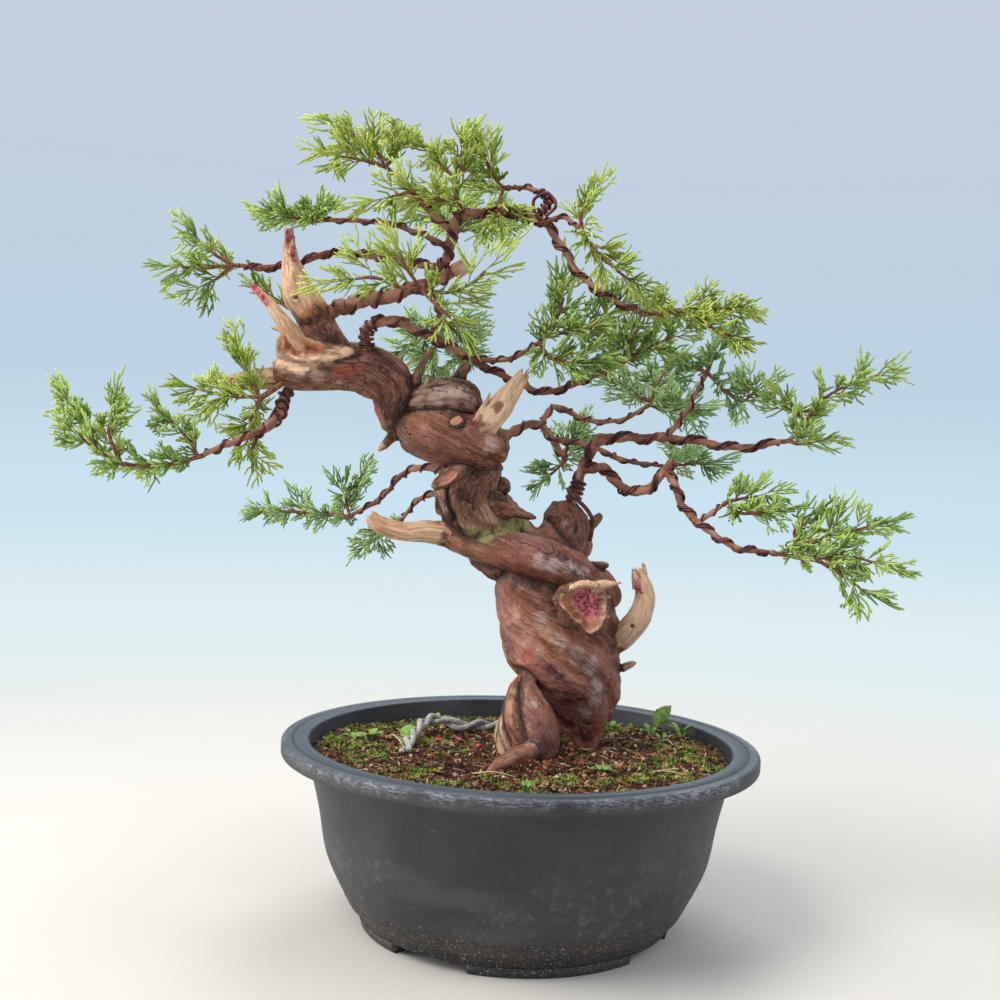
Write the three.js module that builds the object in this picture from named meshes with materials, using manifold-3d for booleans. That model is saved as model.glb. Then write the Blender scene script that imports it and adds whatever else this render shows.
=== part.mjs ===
// A juniper bonsai in a round nursery pot: coiled trunk, torn deadwood, wired boughs and seeded
// foliage. Millimetres, +Z up. The pot's axis is X = Y = 0 while the pieces are made, the table is
// Z = 0, and the last lines move the whole plant so that its own box is centred over the origin.
import * as THREE from 'three';
import { mergeVertices } from 'three/addons/utils/BufferGeometryUtils.js';
import Module from 'manifold-3d';

const wasm = await Module();
wasm.setup();

// Driving dimensions
const CLEAR = 0.3; // gap kept between neighbouring solids
const POT_SIDES = 32;
const POT_HEIGHT = 127;
const RIM_RADIUS = 165;
const MOUTH_RADIUS = 146;
const LIP_DEPTH = 10;
const FOOT_RADIUS = 107;
const FOOT_STEP = 9; // from the feet's outside to the foot of the wall
const FOOT_WIDTH = 10;
const FOOT_HEIGHT = 6;
const FOOT_GAP = THREE.MathUtils.degToRad(30);
const FIRST_FOOT_GAP = THREE.MathUtils.degToRad(60); // measured from -Y towards +X
const FEET = 4;
const FLOOR_TOP = 13;
const SOIL_TOP = 118;
const SOIL_FLAT_RADIUS = 95; // the soil is level round the trunk and falls away to the wall
const SOIL_FALL = 3;

const TRUNK_SIDES = 9;
const END_REACH = 0.55; // how far a strand's rounded end runs on, as a share of its radius
const END_RADIUS = 0.5; // and how much of its radius is left there
const DEADWOOD_SIDES = 6;
const LIMB_SIDES = 5;
const TWIG_SIDES = 3;
const RING_GAP = 15; // along a bough
const STEM_RADIUS = 2.5;
const STEM_TIP_RADIUS = 1.7;
const FORK_REACH = 4; // from a mass's root to where its stems part
const BUD_SPACING = 11; // along a stem
const LIFT = 0.25; // how much sprays turn up
const SPRAY_SHAPE = 0.8; // width of a spray for its length
const SPRAY_FORWARD = 0.8; // how far sprays lean along their stem, beside 1 out from it
const SHORTEST_SPRAY = 0.8; // of the length that a mass names
const SPRAY_RANGE = 0.35; // and how much longer the others may be
const TIP_SPRAY = { longer: 1.15, slim: 0.6 }; // the one that ends a stem
const TURN_SCATTER = 0.8; // radians
const SPRAY_THICKNESS = 1.1;
const STALK_SINK = 0.4; // how far a spray's root runs past the middle of its stem
const SPINS = 6; // turns about its stalk that a spray is tried at before it is left out
const SIMPLIFY = 0.1; // edges and corners smaller than this are merged away
const GOLDEN_ANGLE = THREE.MathUtils.degToRad(137.5);
const CROWN_TOP = 563;

const UP = new THREE.Vector3(0, 0, 1);

// Finishes
const POT_BLACK = 0x2f3338;
const SOIL_BROWN = 0x5b3f2c;
const BARK = 0x7a5547;
const OLD_BARK = 0x6d4a40;
const BARE_WOOD = 0xd9b48c;
const BRIGHT_LEAF = 0x8fae3c;
const MID_LEAF = 0x5f8f42;
const DEEP_LEAF = 0x3f7350;

function finish(color, roughness) {
  return new THREE.MeshStandardMaterial({ color, roughness, metalness: 0 });
}

// Solids and geometry

// Turns a closed geometry into a solid, once its shared corners are joined.
function solidOf(geometry) {
  const bare = geometry.clone();
  bare.deleteAttribute('normal');
  bare.deleteAttribute('uv');
  const welded = mergeVertices(bare);
  return new wasm.Manifold(new wasm.Mesh({
    numProp: 3,
    vertProperties: new Float32Array(welded.getAttribute('position').array),
    triVerts: new Uint32Array(welded.getIndex().array),
  }));
}

function geometryOf(solid) {
  const mesh = solid.getMesh();
  const geometry = new THREE.BufferGeometry();
  geometry.setAttribute('position', new THREE.BufferAttribute(mesh.vertProperties, 3));
  geometry.setIndex(new THREE.BufferAttribute(mesh.triVerts, 1));
  geometry.computeVertexNormals();
  return geometry;
}

// Keeps the largest body of a solid, so a loose scrap or a sealed hollow goes, and merges the small
// and level faces that cutting leaves.
function largestBody(solid) {
  const bodies = solid.asOriginal().simplify(SIMPLIFY).decompose();
  bodies.sort((a, b) => b.volume() - a.volume());
  return bodies[0];
}

function fuse(solids) {
  return solids.reduce((whole, solid) => whole.add(solid));
}

function latheSolid(profile, sides) {
  const points = profile.map(([radius, z]) => new THREE.Vector2(radius, z));
  const geometry = new THREE.LatheGeometry(points, sides);
  geometry.rotateX(Math.PI / 2);
  return solidOf(geometry);
}

// Random numbers that are the same on every run
function seeded(seed) {
  let state = seed * 7919;
  return () => {
    state = (state * 48271) % 2147483647;
    return state / 2147483647;
  };
}

// Limbs

function smoothCurve(route) {
  const points = route.map(([x, y, z]) => new THREE.Vector3(x, y, z));
  return new THREE.CatmullRomCurve3(points, false, 'centripetal');
}

// One frame per ring, carried along the curve without twisting.
function ringFrames(curve, steps) {
  const frames = [];
  let out = new THREE.Vector3(0, -1, 0);
  for (let ring = 0; ring <= steps; ring += 1) {
    const along = curve.getTangent(ring / steps);
    if (ring === 0 && Math.abs(along.dot(out)) > 0.9) {
      out = new THREE.Vector3(1, 0, 0);
    }
    out = out.clone().addScaledVector(along, -out.dot(along)).normalize();
    const side = new THREE.Vector3().crossVectors(out, along);
    frames.push({ at: curve.getPoint(ring / steps), along, out, side });
  }
  return frames;
}

// Radius at t: from station to station where each has its own, or one even taper.
function radiusAt(radii, t) {
  const place = t * (radii.length - 1);
  const low = Math.min(Math.floor(place), radii.length - 2);
  return THREE.MathUtils.lerp(radii[low], radii[low + 1], place - low);
}

// Bends a closed cylinder along the route. grow makes it fatter and longer all round.
function sweep(route, radii, { sides, ringGap = Infinity, grow = 0 }) {
  const curve = smoothCurve(route);
  const steps = Math.max(route.length - 1, Math.round(curve.getLength() / ringGap));
  const frames = ringFrames(curve, steps);
  const rod = new THREE.CylinderGeometry(1, 1, 1, sides, steps);
  rod.deleteAttribute('normal');
  rod.deleteAttribute('uv');
  const geometry = mergeVertices(rod);
  const place = geometry.getAttribute('position');
  for (let i = 0; i < place.count; i += 1) {
    const ring = Math.round((place.getY(i) + 0.5) * steps);
    const frame = frames[ring];
    const radius = radiusAt(radii, ring / steps) + grow;
    const point = frame.at.clone();
    point.addScaledVector(frame.out, place.getX(i) * radius);
    point.addScaledVector(frame.side, place.getZ(i) * radius);
    if (ring === 0) {
      point.addScaledVector(frame.along, -grow);
    } else if (ring === steps) {
      point.addScaledVector(frame.along, grow);
    }
    place.setXYZ(i, point.x, point.y, point.z);
  }
  return solidOf(geometry);
}

// A strand of old wood: stations [x, y, z, radius] between two rounded ends.
function strand(stations, grow = 0) {
  const round = (end, next) => {
    const lean = new THREE.Vector3(end[0] - next[0], end[1] - next[1], end[2] - next[2]);
    lean.normalize().multiplyScalar(end[3] * END_REACH);
    return [end[0] + lean.x, end[1] + lean.y, end[2] + lean.z, end[3] * END_RADIUS];
  };
  const [first, second] = stations;
  const [beforeLast, last] = stations.slice(-2);
  const full = [round(first, second), ...stations, round(last, beforeLast)];
  return sweep(full, full.map((station) => station[3]), { sides: TRUNK_SIDES, grow });
}

// Trunk: one spiralled mass of several strands, with its small torn stubs, [x, y, z, radius] each

const TRUNK_STRANDS = {
  belly: [[50, 26, 112, 5], [49, 27, 122, 9], [47, 28, 130, 15], [44, 30, 141, 22.5],
    [38, 32, 151, 31], [35.5, 34, 169, 37], [28.5, 34, 191, 40.5], [24, 34, 206, 40],
    [15, 34, 224, 38], [3, 33, 252, 31]],
  leg: [[7, 16, 172, 7], [0, 7, 160, 11], [2, 1, 150, 15], [5, -3, 138, 19.5], [7, -4, 127, 20.5],
    [8, -4, 118, 18]],
  surfaceRoot: [[12, -8, 126, 10], [-3, -26, 121, 8], [-13, -42, 119, 6], [-19, -57, 117, 4]],
  ridge: [[-56, 20, 270, 12], [-38, 18, 263, 14], [-20, 12, 259, 14.5], [10, 5, 252, 16],
    [34, 6, 244, 13], [52, 12, 236, 10], [62, 22, 224, 7]],
  knob: [[22, 40, 256, 22], [26, 42, 272, 19.5], [26, 42, 283, 15]],
  column: [[-8, 32, 252, 26], [-33, 27, 276, 26], [-44, 24, 292, 24], [-43, 22, 308, 22],
    [-38, 18, 324, 20]],
  ledge: [[-26, 21, 287, 10], [-10, 9, 284, 7], [2, 1, 282, 3]],
  lowCoil: [[-28, 16, 329, 16], [-40, 0, 331, 18], [-62, -2, 335, 19], [-80, 11, 339, 16],
    [-80, 27, 348, 13]],
  highCoil: [[-84, 18, 357, 11], [-69, 9, 361, 14], [-53, 11, 362, 16], [-48, 26, 352, 15]],
  neck: [[-97, 19, 338, 7], [-99, 16, 354, 12], [-102, 12, 370, 17], [-119, 6, 380, 17],
    [-140, 0, 380, 15], [-162, -6, 377, 14], [-173, -7, 377, 12]],
  shoulder: [[-140, 0, 386, 14], [-150, -2, 400, 16], [-154, -2, 413, 13]],
  backStub: [[-28, 24, 292, 9], [-20, 26, 304, 7]],
  cutStub: [[-46, -4, 321, 7], [-55, -13, 311, 5], [-65, -20, 302, 4]],
  leftStub: [[-94, 17, 340, 6], [-108, 13, 324, 2]],
  rightStub: [[62, 34, 170, 5], [80, 23, 180, 2]],
  knobStub: [[38, 42, 268, 5], [52, 44, 283, 3]],
  ridgeStub: [[46, 8, 248, 5], [56, 6, 250, 2]],
  crownStub: [[-84, 12, 372, 5], [-78, 11, 386, 3], [-72, 10, 397, 2.6]],
  coilStub: [[-56, 12, 372, 6], [-46, 12, 388, 4]],
};

// Everything below the soil's surface is cut away level.
function cutAtGround(solid, height) {
  const block = new THREE.BoxGeometry(2 * RIM_RADIUS, 2 * RIM_RADIUS, height);
  block.translate(0, 0, height / 2);
  return solid.subtract(solidOf(block));
}

function trunkSolid(grow) {
  const whole = fuse(Object.values(TRUNK_STRANDS).map((stations) => strand(stations, grow)));
  return largestBody(cutAtGround(whole, SOIL_TOP + CLEAR - grow));
}

// Deadwood that is bare and pale, each from inside the trunk to its torn end, [x, y, z, radius]

const DEADWOOD = {
  long_jin: [[-50, 20, 265, 9.5], [-69, 14, 268, 7.5], [-91, 12, 268, 6.5], [-105, 11, 272, 6],
    [-112, 10, 278, 4]],
  cone_jin: [[-36, -4, 342, 10.5], [-26, -9, 353, 9.5], [-17, -8, 366, 7], [-8, -6, 379, 4]],
  torn_stub: [[36, 12, 221, 18], [41, -12, 222, 17], [42, -24, 223, 12]],
  antler_jin: [[60, 31, 188, 8], [72, 25, 200, 9], [81, 20, 213, 8.5], [84.5, 18, 226, 7],
    [82, 16, 238, 5.5], [79, 16, 247, 3]],
  tall_jin: [[-154, -2, 416, 12], [-164, -6, 430, 11], [-170, -8, 450, 6.5], [-173, -8, 473, 1.5]],
  spike_jin: [[-158, -10, 388, 11], [-165, -14, 399, 7], [-174, -16, 411, 5],
    [-184, -18, 423, 3.4], [-195, -20, 434, 1.5]],
  pale_stub: [[-178, -2, 372, 8], [-200, -6, 369, 6], [-213, -8, 367, 4]],
};

// Boughs, each one tapering limb: its route and the radius at its root and tip

const BOUGHS = {
  crown_limb: {
    route: [[-150, -1, 416], [-128, 2, 425], [-84, 4, 438], [-56, 4, 452]],
    radius: [6.5, 5],
  },
  crown_upright: {
    route: [[-70, 6, 445], [-64, 4, 462], [-61, 2, 476], [-57, 0, 490]],
    radius: [4.4, 3.5],
  },
  cascade: {
    route: [[-58, 0, 488], [-35, -4, 491], [-14, -8, 488], [3, -10, 483], [14, -12, 468], [28, -16, 448],
      [46, -20, 434], [69, -24, 424]],
    radius: [3.8, 1.9],
  },
  cascade_loop: {
    route: [[-5, -9, 486], [5, -5, 500], [-8, 1, 509], [-22, 6, 510]],
    radius: [2.6, 1.7],
  },
  cascade_side: { route: [[2, -10, 483], [14, -16, 487], [24, -20, 481]], radius: [2.4, 1.7] },
  apex_bough: {
    route: [[-60, 2, 476], [-76, -4, 489], [-90, -8, 503], [-104, -10, 515]],
    radius: [3.2, 2],
  },
  apex_left: {
    route: [[-65, 3, 468], [-96, -10, 478], [-130, -14, 480], [-149, -16, 479]],
    radius: [2.6, 1.7],
  },
  apex_back: { route: [[-60, 2, 480], [-62, 30, 482], [-62, 56, 487]], radius: [3, 2] },
  upper_left: {
    route: [[-66, 5, 452], [-94, 8, 457], [-124, 11, 461], [-150, 13, 461], [-168, 12, 454],
      [-194, 10, 449], [-209, 8, 450]],
    radius: [3.3, 2],
  },
  front_bough: { route: [[-86, 3, 438], [-83, -12, 435], [-79, -30, 433]], radius: [3, 2] },
  middle_back: { route: [[-76, 4, 441], [-73, 30, 434], [-71, 56, 424]], radius: [3, 2] },
  lower_left: {
    route: [[-168, 4, 370], [-174, 0, 358], [-174, -12, 346], [-183, -22, 335], [-202, -28, 326],
      [-220, -32, 317]],
    radius: [4.4, 2.3],
  },
  middle_right: {
    route: [[-116, 2, 390], [-117, -2, 407], [-106, -2, 414], [-92, 4, 413], [-76, 13, 406],
      [-59, 20, 399], [-40, 20, 389], [-16, 18, 378], [8, 16, 370], [32, 14, 378], [54, 12, 388]],
    radius: [4.5, 2.1],
  },
  middle_right_side: { route: [[-42, 19, 391], [-18, 10, 392], [-1, 0, 401]], radius: [2.6, 1.7] },
  back_right: {
    route: [[-26, 26, 336], [5, 45, 348], [15, 55, 337], [23, 62, 326]],
    radius: [3.8, 2.8],
  },
  back_right_high: {
    route: [[6, 45, 347], [15, 60, 361], [43, 75, 353], [68, 85, 355], [85, 90, 365]],
    radius: [2.8, 1.8],
  },
  back_right_low: {
    route: [[14, 54, 338], [43, 65, 334], [71, 80, 324], [98, 85, 321]],
    radius: [2.8, 1.8],
  },
  long_right: {
    route: [[29, 42, 286], [36, 38, 310], [40, 34, 325], [51, 28, 338], [80, 20, 340], [111, 14, 340],
      [145, 8, 336], [173, 4, 341]],
    radius: [4.8, 2.3],
  },
  long_right_side: { route: [[94, 17, 340], [109, 16, 362], [119, 14, 384]], radius: [2.6, 1.7] },
  low_right_bend: {
    route: [[38, 36, 316], [53, 24, 317], [62, 16, 306], [76, 10, 302], [88, 4, 310], [98, 0, 325]],
    radius: [3.9, 3.5],
  },
  low_right: {
    route: [[94, 2, 317], [99, -8, 309], [104, -16, 295], [117, -22, 282], [138, -28, 269],
      [162, -32, 266]],
    radius: [3.4, 2],
  },
  low_right_side: { route: [[115, -21, 284], [124, -20, 291], [131, -18, 296]], radius: [2.2, 1.6] },
  back_left: {
    route: [[-52, 32, 308], [-68, 50, 312], [-86, 66, 312], [-101, 78, 303], [-114, 88, 288],
      [-135, 96, 275]],
    radius: [3.4, 1.8],
  },
  back_left_low: {
    route: [[-50, 36, 294], [-70, 50, 294], [-82, 62, 289], [-95, 72, 274]],
    radius: [3, 1.8],
  },
};

// Foliage: each mass leaves one bough's tip, or comes out of the trunk between the two points of
// its root. Its stems run on through the points given, the later ones from a place on an earlier
// one (on, at). spray is the length of its longest sprays.

const MASSES = {
  apex_foliage: {
    bough: 'apex_bough', leaf: BRIGHT_LEAF, spray: 30, seed: 11,
    stems: [{ to: [[-118, -12, 533], [-135, -10, 540]] }, { to: [[-123, -15, 521], [-141, -16, 523]] },
      { to: [[-100, -6, 531], [-102, -2, 542]] }],
  },
  crown_top_foliage: {
    bough: 'crown_upright', leaf: BRIGHT_LEAF, spray: 31, seed: 23,
    stems: [{ to: [[-59, -6, 501], [-56, -10, 517], [-56, -8, 530]] },
      { to: [[-72, -18, 496], [-90, -28, 497], [-102, -32, 493]] },
      { on: 0, at: 0.55, to: [[-70, -8, 521], [-78, -4, 530]] }],
  },
  crown_right_foliage: {
    bough: 'cascade_loop', leaf: BRIGHT_LEAF, spray: 29, seed: 31,
    stems: [{ to: [[-34, 2, 518], [-39, 0, 527]] }, { to: [[-29, -6, 497], [-29, -14, 484]] }],
  },
  high_left_foliage: {
    bough: 'apex_left', leaf: MID_LEAF, spray: 25, seed: 41,
    stems: [{ to: [[-163, -14, 480], [-175, -14, 481]] }, { on: 0, at: 0.2, to: [[-152, -25, 480]] }],
  },
  far_left_foliage: {
    bough: 'upper_left', leaf: MID_LEAF, spray: 29, seed: 53,
    stems: [{ to: [[-228, 4, 458], [-236, 2, 465]] }, { to: [[-232, 0, 446], [-247, -4, 446]] },
      { to: [[-227, 14, 441], [-237, 16, 436]] }],
  },
  front_foliage: {
    bough: 'front_bough', leaf: BRIGHT_LEAF, spray: 32, seed: 61,
    stems: [{ to: [[-93, -40, 433], [-109, -46, 438], [-124, -46, 435]] },
      { to: [[-87, -42, 445], [-92, -44, 455]] },
      { to: [[-60, -42, 430], [-42, -48, 437], [-35, -48, 444]] },
      { to: [[-67, -40, 422], [-57, -44, 413]] }],
  },
  cascade_foliage: {
    bough: 'cascade_side', leaf: BRIGHT_LEAF, spray: 28, seed: 71,
    stems: [{ to: [[27, -24, 487], [31, -24, 494]] },
      { to: [[32, -27, 470], [44, -31, 456], [62, -33, 443]] }],
  },
  cascade_tip_foliage: {
    bough: 'cascade', leaf: BRIGHT_LEAF, spray: 24, seed: 83,
    stems: [{ to: [[89, -28, 424], [111, -30, 427], [130, -30, 427]] },
      { on: 0, at: 0.45, to: [[118, -34, 413], [130, -32, 409]] }],
  },
  middle_foliage: {
    bough: 'middle_right_side', leaf: MID_LEAF, spray: 30, seed: 97,
    stems: [{ to: [[9, -8, 411], [16, -10, 426], [17, -8, 434]] },
      { to: [[8, -8, 393], [25, -14, 389], [34, -14, 391]] },
      { on: 0, at: 0.35, to: [[25, -12, 409], [42, -14, 417], [50, -12, 424]] }],
  },
  middle_right_foliage: {
    bough: 'middle_right', leaf: MID_LEAF, spray: 28, seed: 101,
    stems: [{ to: [[73, 8, 400], [89, 5, 408], [96, 5, 412]] }, { to: [[65, 2, 404], [68, 0, 412]] }],
  },
  rear_right_foliage: {
    bough: 'back_right_high', leaf: DEEP_LEAF, spray: 31, seed: 113,
    stems: [{ to: [[92, 98, 379], [100, 104, 393]] },
      { on: 0, at: 0.2, to: [[75, 98, 375], [67, 100, 381]] },
      { to: [[102, 94, 363], [118, 97, 366]] }],
  },
  rear_low_foliage: {
    bough: 'back_right_low', leaf: DEEP_LEAF, spray: 26, seed: 127,
    stems: [{ to: [[113, 90, 322], [132, 93, 325]] }, { on: 0, at: 0.3, to: [[118, 104, 330]] }],
  },
  rear_centre_foliage: {
    bough: 'back_right', leaf: DEEP_LEAF, spray: 26, seed: 131,
    stems: [{ to: [[26, 74, 332], [33, 82, 344]] }, { to: [[20, 74, 316], [12, 82, 309]] }],
  },
  long_side_foliage: {
    bough: 'long_right_side', leaf: DEEP_LEAF, spray: 25, seed: 139,
    stems: [{ to: [[123, 14, 394], [127, 12, 401]] }, { to: [[112, 19, 391]] },
      { to: [[131, 10, 377], [145, 8, 368], [152, 8, 373]] }],
  },
  far_right_foliage: {
    bough: 'long_right', leaf: MID_LEAF, spray: 26, seed: 149,
    stems: [{ to: [[186, -2, 352], [193, -6, 365], [205, -8, 376], [226, -9, 386]] },
      { on: 0, at: 0.3, to: [[180, 2, 362], [172, 4, 366]] }, { to: [[185, 0, 340], [192, 0, 341]] }],
  },
  low_side_foliage: {
    bough: 'low_right_side', leaf: MID_LEAF, spray: 24, seed: 157,
    stems: [{ to: [[140, -16, 300], [155, -14, 303]] }, { to: [[143, -24, 291], [158, -26, 293]] }],
  },
  low_right_foliage: {
    bough: 'low_right', leaf: MID_LEAF, spray: 25, seed: 163,
    stems: [{ to: [[181, -36, 271], [201, -38, 279], [224, -38, 286]] },
      { to: [[185, -44, 263], [204, -48, 267], [229, -50, 263]] },
      { on: 1, at: 0.4, to: [[203, -50, 256], [217, -52, 247]] },
      { on: 0, at: 0.3, to: [[178, -30, 281], [185, -30, 286]] }],
  },
  hanging_foliage: {
    root: [[-170, -10, 370], [-186, -18, 357]], leaf: BRIGHT_LEAF, spray: 29, seed: 173,
    stems: [{ to: [[-192, -11, 346], [-195, -7, 334], [-194, -5, 324]] },
      { to: [[-200, -20, 357], [-214, -20, 358], [-224, -18, 360]] },
      { to: [[-195, -21, 370], [-199, -20, 380]] }],
  },
  low_left_foliage: {
    bough: 'lower_left', leaf: MID_LEAF, spray: 26, seed: 181,
    stems: [{ to: [[-242, -36, 310], [-276, -40, 309], [-290, -42, 318], [-305, -42, 328]] },
      { to: [[-229, -38, 325], [-237, -42, 335], [-243, -42, 341]] },
      { on: 0, at: 0.6, to: [[-281, -46, 331], [-279, -46, 342]] },
      { on: 0, at: 0.8, to: [[-300, -36, 334], [-310, -34, 346]] }],
  },
  rear_left_foliage: {
    bough: 'back_left', leaf: DEEP_LEAF, spray: 26, seed: 191,
    stems: [{ to: [[-161, 104, 273], [-188, 108, 274], [-202, 110, 273]] },
      { to: [[-142, 102, 288], [-136, 100, 297]] }],
  },
  rear_left_low_foliage: {
    bough: 'back_left_low', leaf: DEEP_LEAF, spray: 24, seed: 197,
    stems: [{ to: [[-106, 78, 265], [-117, 82, 256]] }],
  },
  middle_back_foliage: {
    bough: 'middle_back', leaf: DEEP_LEAF, spray: 31, seed: 211,
    stems: [{ to: [[-84, 78, 412], [-102, 98, 403]] }, { to: [[-58, 80, 413], [-50, 104, 404]] },
      { on: 0, at: 0.3, to: [[-75, 72, 400], [-79, 74, 388]] }],
  },
  apex_back_foliage: {
    bough: 'apex_back', leaf: MID_LEAF, spray: 31, seed: 223,
    stems: [{ to: [[-72, 78, 498], [-86, 98, 508]] }, { to: [[-48, 78, 495], [-34, 98, 503]] },
      { on: 0, at: 0.35, to: [[-62, 94, 512]] }],
  },
  shoulder_foliage: {
    root: [[-148, 6, 402], [-174, 22, 422]], leaf: MID_LEAF, spray: 22, seed: 229,
    stems: [{ to: [[-188, 26, 430], [-197, 26, 435]] }],
  },
};

// A spray of needles: a toothed plate that narrows to its root, which is at the origin; it points
// along +X and is flat in XY.
function spraySolid(length, width) {
  const teeth = [[0.52, -0.5], [0.86, -0.34], [1, 0.08], [0.7, 0.5]];
  const notches = [[0.52, -0.22], [0.72, -0.1], [0.58, 0.16]];
  const shape = new THREE.Shape();
  shape.moveTo(-STALK_SINK, 0);
  teeth.forEach(([reach, offset], i) => {
    shape.lineTo(reach * length, offset * width);
    if (i < notches.length) {
      shape.lineTo(notches[i][0] * length, notches[i][1] * width);
    }
  });
  const plate = new THREE.ExtrudeGeometry(shape, { depth: SPRAY_THICKNESS, bevelEnabled: false });
  plate.translate(0, 0, -SPRAY_THICKNESS / 2);
  return solidOf(plate);
}

// Two directions square to a way: level across it, and above it.
function squareTo(way) {
  const across = new THREE.Vector3().crossVectors(way, UP);
  if (across.length() < 0.1) {
    across.set(1, 0, 0);
  }
  across.normalize();
  return { across, above: new THREE.Vector3().crossVectors(across, way) };
}

// Lays a spray at a point, along a way, turned about that way by spin. slim narrows it.
function laySpray({ at, way, length, slim }, spin) {
  const { across, above } = squareTo(way);
  const side = across.multiplyScalar(Math.cos(spin)).addScaledVector(above, Math.sin(spin));
  const facing = new THREE.Vector3().crossVectors(way, side);
  const matrix = new THREE.Matrix4().makeBasis(way, side, facing).setPosition(at);
  return spraySolid(length, length * SPRAY_SHAPE * slim).transform(matrix.elements);
}

// The sprays of one stem: round it in golden turns, the last one on its tip.
function budsOf(curve, spray, random) {
  const buds = [];
  const count = Math.max(2, Math.round(curve.getLength() / BUD_SPACING));
  for (let i = 0; i < count; i += 1) {
    const t = (i + 0.8) / (count + 0.3); // leaves the root bare and the tip free for its own spray
    const along = curve.getTangentAt(t);
    const { across, above } = squareTo(along);
    const turn = GOLDEN_ANGLE * i + random() * TURN_SCATTER;
    const way = along.clone().multiplyScalar(SPRAY_FORWARD);
    way.addScaledVector(across, Math.cos(turn)).addScaledVector(above, Math.sin(turn));
    way.addScaledVector(UP, LIFT).normalize();
    const length = spray * (SHORTEST_SPRAY + SPRAY_RANGE * random());
    buds.push({ at: curve.getPointAt(t), way, length, slim: 1, spin: random() * Math.PI });
  }
  const way = curve.getTangent(1);
  const length = spray * TIP_SPRAY.longer;
  buds.push({ at: curve.getPoint(1), way, length, slim: TIP_SPRAY.slim, spin: random() * Math.PI });
  return buds;
}

// True where a solid keeps clear of every limb and mass made so far.
function isClear(solid, taken) {
  return solid.boundingBox().max[2] <= CROWN_TOP
    && taken.every((other) => solid.minGap(other, CLEAR) >= CLEAR);
}

// The stems' routes. The first starts square to its bough's tip, so that the gap is even, and the
// others fork from it or from the end of the trunk's stub.
function stemRoutes(mass) {
  const routes = [];
  let fork = mass.root ? mass.root[1] : null;
  for (const { on, at, to } of mass.stems) {
    if (on !== undefined) {
      routes.push([smoothCurve(routes[on]).getPointAt(at).toArray(), ...to]);
    } else if (fork) {
      routes.push([fork, ...to]);
    } else {
      const curve = smoothCurve(BOUGHS[mass.bough].route);
      const along = curve.getTangent(1);
      const start = curve.getPoint(1).addScaledVector(along, CLEAR);
      fork = start.clone().addScaledVector(along, FORK_REACH).toArray();
      routes.push([start.toArray(), fork, ...to]);
    }
  }
  return routes;
}

// Grows one mass: its fused stems, with every spray that keeps clear of limbs, of other masses and
// of the sprays beside it at one of the turns it is tried at.
function massSolid(mass, shells, taken) {
  const random = seeded(mass.seed);
  const routes = stemRoutes(mass);
  const shape = { sides: TWIG_SIDES };
  const stems = routes.map((route) => sweep(route, [STEM_RADIUS, STEM_TIP_RADIUS], shape));
  if (mass.root) {
    stems.unshift(sweep(mass.root, [STEM_RADIUS, STEM_RADIUS], shape));
  }
  const sprays = [];
  for (const route of routes) {
    for (const bud of budsOf(smoothCurve(route), mass.spray, random)) {
      for (let turn = 0; turn < SPINS; turn += 1) {
        const spray = laySpray(bud, bud.spin + (turn * Math.PI) / SPINS);
        if (isClear(spray, [...taken, ...sprays])) {
          sprays.push(spray);
          break;
        }
      }
    }
  }
  let whole = fuse([...stems, ...sprays]);
  for (const shell of shells) {
    whole = whole.subtract(shell);
  }
  return largestBody(whole);
}

// Pot and soil

const SOIL_EDGE = [MOUTH_RADIUS - 2.5, SOIL_TOP - SOIL_FALL]; // where the soil meets the wall
const LOWER_WALL = [[134, 72], [124, 40], [94, FLOOR_TOP]]; // radius and height, inside the pot

// A lathed bowl, [radius, height] all round, whose foot ring is cut through into feet.
function potSolid() {
  const lipBottom = POT_HEIGHT - LIP_DEPTH;
  const footInside = FOOT_RADIUS - FOOT_WIDTH;
  const outside = [
    [0, FOOT_HEIGHT], [footInside, FOOT_HEIGHT], [footInside, 0], [FOOT_RADIUS, 0],
    [FOOT_RADIUS + 4, 14], [FOOT_RADIUS + FOOT_STEP, 16], [128, 40], [135, 66], [142, 97],
    [147, lipBottom], [RIM_RADIUS, lipBottom], [RIM_RADIUS, POT_HEIGHT - 2], [RIM_RADIUS - 2, POT_HEIGHT],
  ];
  const inside = [[MOUTH_RADIUS, POT_HEIGHT], SOIL_EDGE, ...LOWER_WALL, [0, FLOOR_TOP]];
  let pot = latheSolid([...outside, ...inside], POT_SIDES);
  for (let i = 0; i < FEET; i += 1) {
    const angle = FIRST_FOOT_GAP + (i * 2 * Math.PI) / FEET - Math.PI / 2;
    const width = 2 * FOOT_RADIUS * Math.sin(FOOT_GAP / 2);
    const slot = new THREE.BoxGeometry(4 * FOOT_WIDTH, width, 2 * FOOT_HEIGHT);
    slot.translate(FOOT_RADIUS, 0, 0);
    slot.rotateZ(angle);
    pot = pot.subtract(solidOf(slot));
  }
  return pot;
}

// The soil fills the pot to just under its lip, clear of the wall and the floor.
function soilSolid() {
  const side = [SOIL_EDGE, ...LOWER_WALL].map(([radius, z]) => [radius - CLEAR, z]).reverse();
  side[0][1] += CLEAR;
  const top = [[SOIL_FLAT_RADIUS, SOIL_TOP], [0, SOIL_TOP]];
  return latheSolid([[0, FLOOR_TOP + CLEAR], ...side, ...top], POT_SIDES);
}

// Assembly

const plant = new THREE.Group();

function addNode(name, solid, material) {
  const mesh = new THREE.Mesh(geometryOf(solid), material);
  mesh.name = name;
  plant.add(mesh);
}

addNode('pot', potSolid(), finish(POT_BLACK, 0.7));
addNode('soil', soilSolid(), finish(SOIL_BROWN, 1));
addNode('trunk', trunkSolid(0), finish(OLD_BARK, 0.85));

const shells = [trunkSolid(CLEAR)]; // limbs made so far, each fatter by the running gap
const taken = [trunkSolid(0)]; // limbs and masses made so far, as they are

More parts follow.
